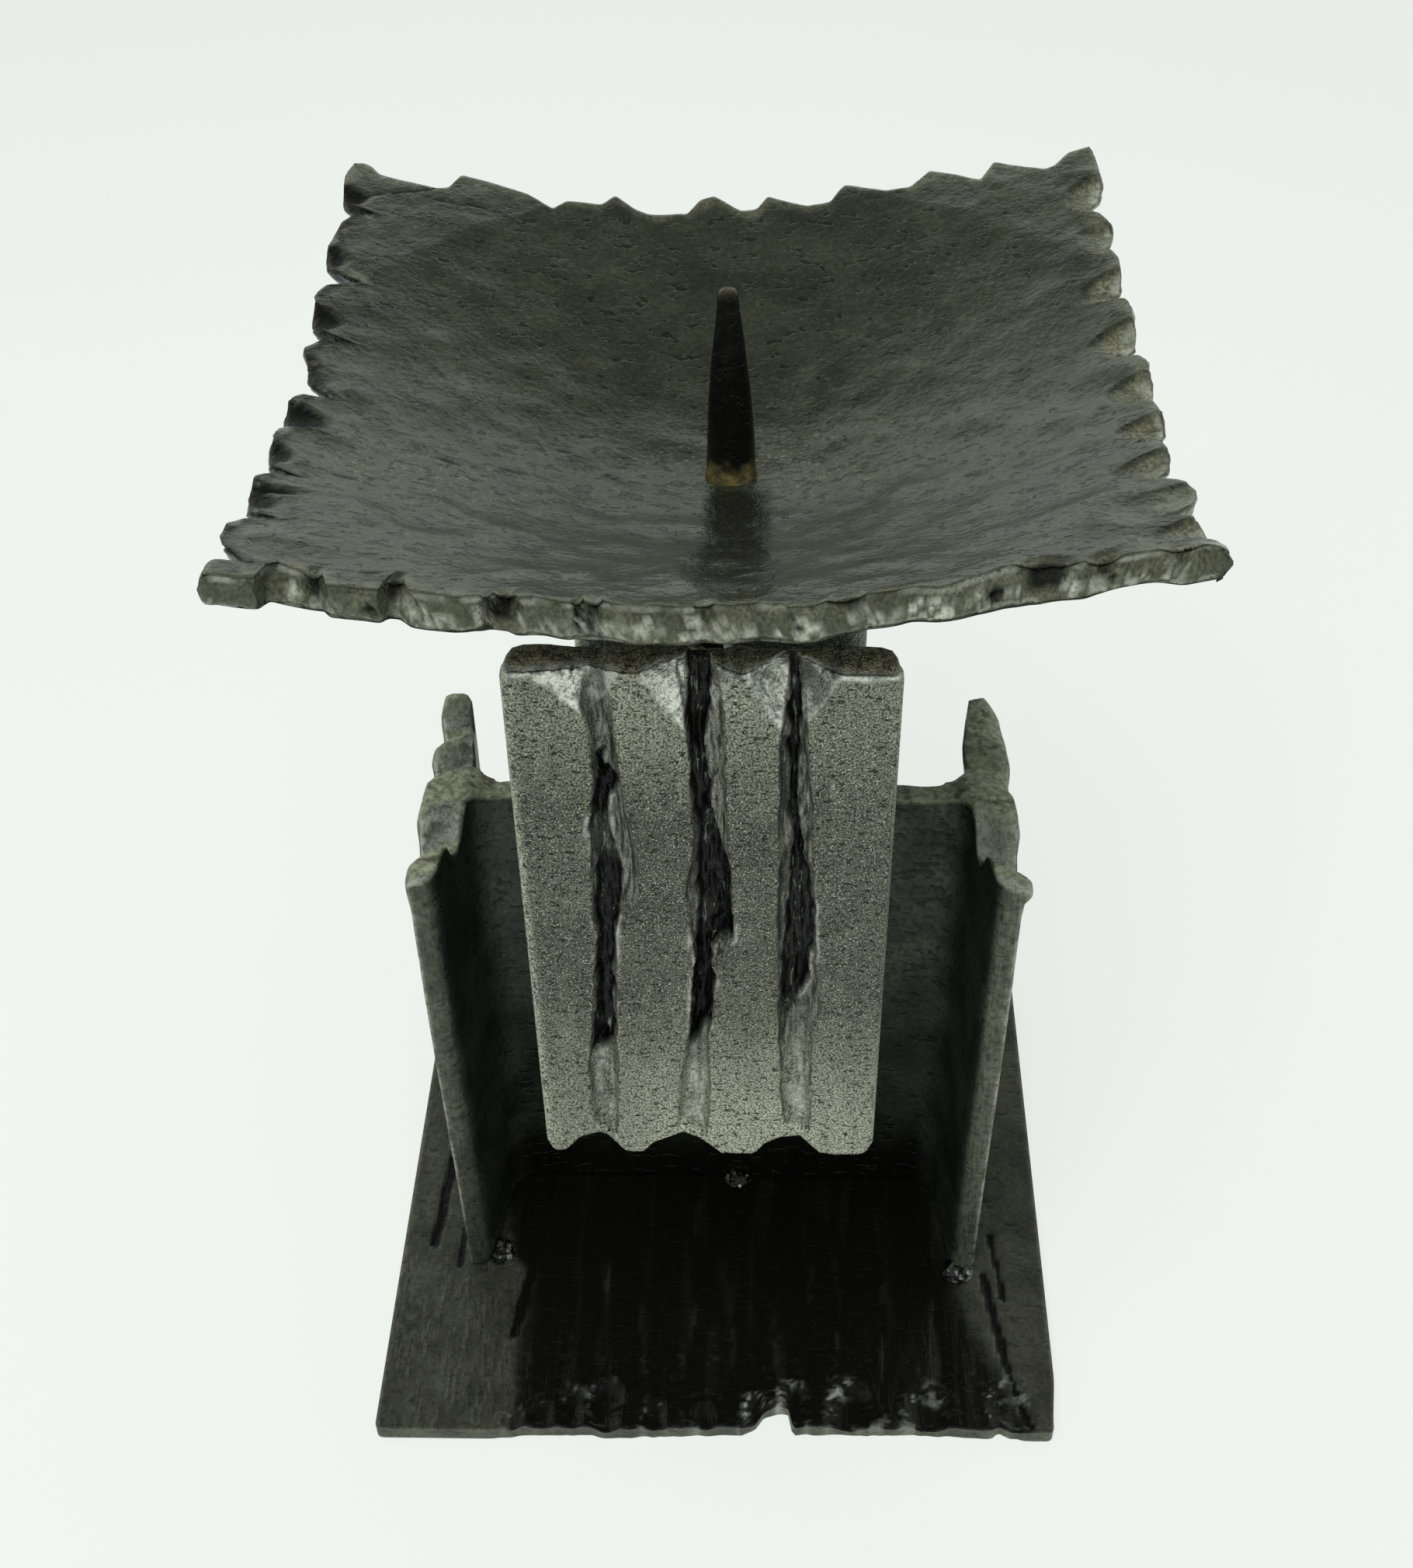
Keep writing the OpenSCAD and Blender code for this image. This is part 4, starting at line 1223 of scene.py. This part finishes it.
# %% Lead both grids along the rim
def lay_pan(flat):
    """Each point's place in the plane of the uncut plate, and the noises it reads."""
    across, along = flat[:, 0], flat[:, 1]
    down = 0.5 - 0.5 * np.cos(-math.pi * flat[:, 2])
    under_front = [(x, front_line + (y - front_line) * front_share) for x, y in front_edge]
    over = lead_border(across, along, (left_edge, right_edge, front_edge, back_edge))
    under = lead_border(across, along, (left_edge, right_edge, under_front, back_edge))
    from_side, from_end = pan_half * (1 - abs(across)), pan_half * (1 - abs(along))
    slant = (1 - rise(abs(along), 0.84, 0.96)) * (1 - rise(from_side, 2, 12))
    under[:, 1] += np.where(across < 0, *torch_slant) * slant
    place = over + down[:, None] * (under - over)
    pan = SimpleNamespace(across=across, along=along, down=down, place=place,
                          from_side=from_side, from_end=from_end, left=across < 0)
    pan.rim = np.minimum(from_side, from_end)
    pan.on_wall = 1 - rise(pan.rim, 0, 0.6)
    pan.at_front = (along < 0) & (from_end < 0.05)
    wall = pan.on_wall * (down > 0.02)
    pan.front_wall = wall * pan.at_front
    pan.side_wall = wall * (1 - pan.front_wall)
    pan.spot = np.column_stack([place, down * pan_thick])
    pan.rough = bumps(pan.spot, 4, 51, 3)
    pan.fine = bumps(pan.spot, 1.5, 53, 2)
    return pan


# %% Round the rim and press its cups and holes
def cut_rim(pan):
    down, x = pan.down, pan.place[:, 0]
    cups, holes = np.zeros((2, len(x)))
    for place, half_width, deep, run in front_cups:
        bowl = np.clip(1 - ((x - place) / half_width) ** 2, 0, 1)
        cups = most(cups, deep * bowl * (1 - rise(down, run - 0.25, run + 0.15)))
    for place, share, radius in wall_holes:
        away = np.hypot(x - place, (down - share) * pan_thick) / radius
        holes = most(holes, 1 - rise(away + 0.15 * pan.fine, 0.5, 1.1))
    pan.cups = cups * (pan.along < 0) * (1 - rise(pan.from_end, 0, 3.5))
    pan.holes = holes * pan.at_front
    inset = rim_round * (1 - (1 - abs(2 * down - 1) ** 2.5) ** 0.4)
    inset = pan.on_wall * (inset + 0.35 * pan.rough + 0.25 * pan.fine)
    inset += 1.2 * pan.cups * pan.at_front + 1.6 * pan.holes
    outward = np.column_stack([np.sign(pan.across) * (pan.from_side < 0.05),
                               np.sign(pan.along) * (pan.from_end < 0.05)])
    pan.place = pan.place - outward * inset[:, None]


# %% Strike the skin
def strike_pan(pan):
    """Height of dimples, cracks and curled corners above the smooth sheet."""
    x, y = pan.place.T
    struck = 0.35 + 0.65 * rise(-y, -40, 5)
    skin = dimples(x, y, 52, 7.0, 620, 0.62) * struck + dimples(x, y, 55, 4.6, 1500, 0.26)
    pan.cracked = 0 * x
    for crack_x, crack_y, half_length, slant in cracks:
        lead, rest = math.cos(slant), math.sin(slant)
        run = (x - crack_x + 0.6 * pan.rough) * lead + (y - crack_y) * rest
        off = (y - crack_y) * lead - (x - crack_x) * rest + 0.5 * pan.rough
        line = bell(off, 0, 0.4) * (1 - rise(abs(run), half_length * 0.7, half_length * 1.2))
        pan.cracked = most(pan.cracked, line * (pan.down < 0.05))
    skin += 0.12 * pan.rough * rise(np.hypot(x, y), 50, 75) + 0.03 * pan.fine - 0.35 * pan.cracked
    for (high, curl_x, reach_x, curl_y, reach_y), share, drift in (
            (left_curl, 1, 0), (right_curl, 1, right_curl_drift), (under_curl, pan.down, 0)):
        near = bell(x, curl_x + drift * pan.down, reach_x) * bell(y, curl_y, reach_y)
        skin += high * share * near
    return skin


# %% Bend the sheet point by point
def bend_pan(pan):
    skin = strike_pan(pan)
    x, y = pan.place.T
    reach, down = np.hypot(x, y), pan.down
    pan.scoops = np.where(pan.left, scoop_out(y, pan.from_side, left_scoops),
                          scoop_out(y, pan.from_side, right_scoops))
    droop = 0.3 * np.clip(1 - pan.rim / 1.2, 0, 1) ** 2
    cut = pan.scoops + droop + 0.8 * pan.cups * (pan.from_end > 0.05)
    thick = pan_thick * (1 - pan_thin_share * rise(reach, brim_reach, 104))
    stand = skin - cut * (1 - down) - thick * down
    tilt = pan_tilt(reach)
    level = pan_height(reach) + np.cos(tilt) * stand
    level = np.where(down > 0.99, np.maximum(level, 0.05), level)
    undercut = 1 - (1 - read_off(x, front_undercut)) * rise(-pan.along * pan_half, 48, 64)
    undercut *= thick * down * (1 - rise(pan.rim, 8, 24))
    out = pan.place / np.maximum(reach, 1e-6)[:, None]
    pan.place = pan.place - out * (np.sin(tilt) * (stand + undercut))[:, None]
    return np.column_stack([pan.place, level])


# %% Paint the pan's rim and walls
def paint_metal(piece, pan):
    x, rough, fine, scoops = pan.place[:, 0], pan.rough, pan.fine, pan.scoops
    front_wall, side_wall = pan.front_wall, pan.side_wall
    patches = rise(bumps(pan.spot, 3.5, 54, 2), 0.1, 0.5)
    # Painted highlights, partly pale patina, on the lower part of the front wall
    gleam = 0 * x
    for place, half_width, strength in front_gleams:
        near = rise(1.3 * half_width - abs(x - place + 0.9 * fine), -0.3, 0.3)
        low = rise(pan.down + 0.3 * rough + 0.15 * fine, 0.35, 0.5)
        gleam = most(gleam, strength * near * low)
    gleam *= 0.8 * front_wall * rise(bumps(pan.spot, 0.9, 56, 3), -0.3, 0.3)
    # Painted highlight along the top and bottom edges of the front wall
    arris_highlight = pan.on_wall * pan.at_front * rise(abs(2 * pan.down - 1) + 0.15 * fine, 0.75, 0.95)
    arris_highlight *= 0.5 * rise(rough, -0.3, 0.3)
    # Painted highlight on the outer ends of the scoops on the right side
    right_lobe_highlight = rise(scoops, 0.8, 1.8) * ~pan.left * (1 - rise(pan.from_side + 0.8 * rough, 1, 4))
    right_lobe_highlight *= 0.5 * rise(fine + 0.5 * rough, -0.4, 0.4)
    paint_on(piece, "molten", most(gleam, arris_highlight, right_lobe_highlight))
    worn = 0.4 * (1 - rise(pan.rim + 2.5 * rough, 0.5, 4)) * (1 - front_wall)
    worn += 0.5 * front_wall * (0.5 + 0.5 * patches)
    # The right scoops are painted paler than the left ones, partly worn patina and partly painted
    # light, and the left side walls are kept darker as painted shade
    scoops_lit_right = rise(scoops, 0.15, 1.2) * np.where(pan.left, 0.1, 0.65 + 0.4 * rough)
    paint_on(piece, "scraped", most(worn, scoops_lit_right) * (1 - 0.7 * side_wall * pan.left))


# %% Paint the soot, the dust, the painted shade on the left rim and the spike's painted reflection
def paint_soot(piece, pan):
    x, y = pan.place.T
    rough, fine, scoops = pan.rough, pan.fine, pan.scoops
    # Painted shade: the knobs and the scoops of the left rim are painted dark
    shaded_knobs = (1 - rise(pan.from_side + 1.2 * rough, 1.5, 4.5)) * pan.left
    shaded_knobs *= 0.85 * (1 - rise(abs(pan.along), 0.9, 0.95)) * rise(fine + 0.6 * rough, -0.9, 0.1)
    flat_lobe = np.clip(bell(y, 11, 6) + bell(y, -66, 8), 0, 1)
    left_scoop_shade = 0.95 * rise(scoops, 0.1, 0.7) * pan.left * (1 - 0.8 * flat_lobe)
    # Painted reflection: a dark streak in front of the spike stands in for the spike's reflection
    # in the pan
    run = (1 - rise(abs(x - 3.2 + 0.9 * rough), 4.5, 7.5)) * rise(1.5 * rough - y, 4, 8)
    broken = 0.85 * rise(rough + 0.6 * fine, -0.6, 0.1)
    run *= (1 - rise(-y, 58, 70)) * np.where(-y < 30, 0.7, broken) * (pan.down < 0.05)
    # Painted shade: the side walls are painted dark, the left ones more than the right
    paint_on(piece, "burned", most(
        pan.side_wall * np.where(pan.left, 0.8, 0.3), shaded_knobs, left_scoop_shade, 0.9 * pan.holes,
        0.9 * pan.cracked, run, 0.8 * rise(pan.cups, 0.5, 1.4)))
    foot_dust = bell(x, 8, 22) * bell(y, 2, 13)
    left_dust = 0.8 * bell(x, -48, 18) * bell(y, -24, 13)
    paint_on(piece, "dusty", most(foot_dust, left_dust))


# %% Hammer the pan and nibble its rim
def lean(place):
    """Leans points of the pan's own frame, in metres, as the pan stands."""
    return (np.column_stack([place, np.ones(len(place))]) @ np.array(pan_frame).T)[:, :3]


def shape_pan(piece):
    pan = lay_pan(points_of(piece))
    cut_rim(pan)
    set_points(piece, lean(bend_pan(pan) * mm))
    paint_metal(piece, pan)
    paint_soot(piece, pan)


pan = folded_sheet("dish_hammered", pan_cells, pan_cells, rim_band)
shape_pan(pan)
finish_piece(pan, dish_steel, "dish_steel", "dish")

# %% [markdown]
# ## The spike
# The spike was forged to a taper and its end is blunt and a little
# mushroomed. A lathe line spun round its axis makes it, and a slight
# unevenness keeps it from looking turned.

# %% Spin the spike
# Radius and height above the pan's seat, from the foot to the tip
spike_line = ((0, 5.2), (4.4, 5.2), (4.75, 5.8), (4.65, 6.6), (4.4, 8), (4.2, 14), (3.75, 21),
              (3.15, 28), (2.45, 34), (1.95, 38.5), (1.8, 40.2), (1.7, 40.9), (1.35, 41.5),
              (0.8, 41.75), (0, 41.8))
spike_turns = 72
spike_rings = 90
# How far it stands to the right at the foot, and how much further at the tip
spike_shift, spike_drift, spike_high = 1.5, 0.4, 42


def spin_spike():
    bm = bmesh.new()
    line = np.array(spike_line)
    run = np.concatenate([[0], np.cumsum(np.hypot(*np.diff(line, axis=0).T))])
    steps = np.linspace(0, run[-1], spike_rings)
    radius, height = np.interp(steps, run, line[:, 0]), np.interp(steps, run, line[:, 1])
    dots = [bm.verts.new((r * mm, 0, z * mm)) for r, z in zip(radius, height)]
    edges = [bm.edges.new(pair) for pair in zip(dots, dots[1:])]
    bmesh.ops.spin(bm, geom=dots + edges, cent=(0, 0, 0), axis=(0, 0, 1), angle=2 * math.pi,
                   steps=spike_turns, use_merge=True)
    bmesh.ops.remove_doubles(bm, verts=bm.verts, dist=0.01 * mm)
    bmesh.ops.recalc_face_normals(bm, faces=bm.faces)
    piece = new_piece(bm, "spike_forged")
    points = points_of(piece)
    uneven = 1 + 0.04 * bumps(points * (1, 1, 0.4), 4 * mm, 61, 2)
    uneven += 0.015 * bumps(points, 1.2 * mm, 62)
    points[:, :2] *= uneven[:, None]
    height = points[:, 2] / mm
    foot_rust = 1 - rise(height + 2 * bumps(points, 2 * mm, 63, 2), 7, 10.5)
    points[:, 0] += mm * (spike_shift + spike_drift * height / spike_high)
    set_points(piece, lean(points))
    for name in ("burned", "molten", "scraped"):
        paint_on(piece, name, 0 * uneven)
    paint_on(piece, "dull_and_lit", np.maximum(0.9 * foot_rust, 0.4 * rise(height, 41.2, 41.7)))
    return piece


spike = spin_spike()
finish_piece(spike, spike_steel, "spike_steel", "spike")

# %% [markdown]
# ## The welds
# Blobs of weld tack the beam to the plate, and short beads hold the bars, the
# cross plate and the pan. The CAD has each bead as a plain round run, in its
# true place. A copy of it, merged and given an even skin, takes the ripples.

# %% Ripple the beads
bead_skin = 0.35 * mm
ripple = 0.35 * mm
bead_nodes = ("tack_front_left", "tack_front_right", "tack_rear_left", "tack_rear_right",
              "tack_web_front", "tack_web_rear", "weld_front_bar", "weld_rear_bar",
              "weld_tie_web", "weld_dish")


def rippled_bead(node, seed):
    """A tack is a rough, sooty blob. A run has even ripples and shines more."""
    bm = bmesh.new()
    bm.from_mesh(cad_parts[node].data)
    bmesh.ops.remove_doubles(bm, verts=bm.verts, dist=0.001 * mm)
    piece = new_piece(bm, node + "_rippled")
    even_skin(piece, bead_skin)
    points = points_of(piece)
    normals = np.empty(points.size)
    piece.data.vertices.foreach_get("normal", normals)
    tack = node.startswith("tack")
    if tack:
        swell = 0.5 * bumps(points, 1.8 * mm, seed, 3)
    else:
        swell = 0.28 * bumps(points, 2.2 * mm, seed, 2) + 0.12 * np.sin(points[:, 2] / ripple)
    set_points(piece, points + mm * swell[:, None] * normals.reshape(-1, 3))
    soot_and_shade = bumps(points, 3 * mm, seed + 1, 2)
    gleam = bumps(points, (0.8 if tack else 2) * mm, seed + 2, 2)
    burned, molten = rise(soot_and_shade, 0.1, 0.6), rise(gleam, 0.0, 0.5)
    if tack:
        burned = 0.95 * rise(soot_and_shade, -0.9, -0.2) * (1 - rise(gleam, 0.3, 0.5))
        molten = rise(gleam, 0.25, 0.5)
    paint_on(piece, "burned", burned)
    paint_on(piece, "molten", molten)
    paint_on(piece, "scraped", 0 * swell)
    finish_piece(piece, weld_steel, "weld_steel", node)


for count, node in enumerate(bead_nodes):
    rippled_bead(node, 70 + 3 * count)

# %% [markdown]
# ## The cross plate
# The plate between the bars is plain sawn stock and hardly shows, so its CAD
# solid stays as it is and only takes the beam's finish.

# %% Give the cross plate its finish
cross_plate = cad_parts["tie_plate"]
cross_plate.data.materials.clear()
cross_plate.data.materials.append(beam_steel)
print("the cross plate keeps its CAD solid")
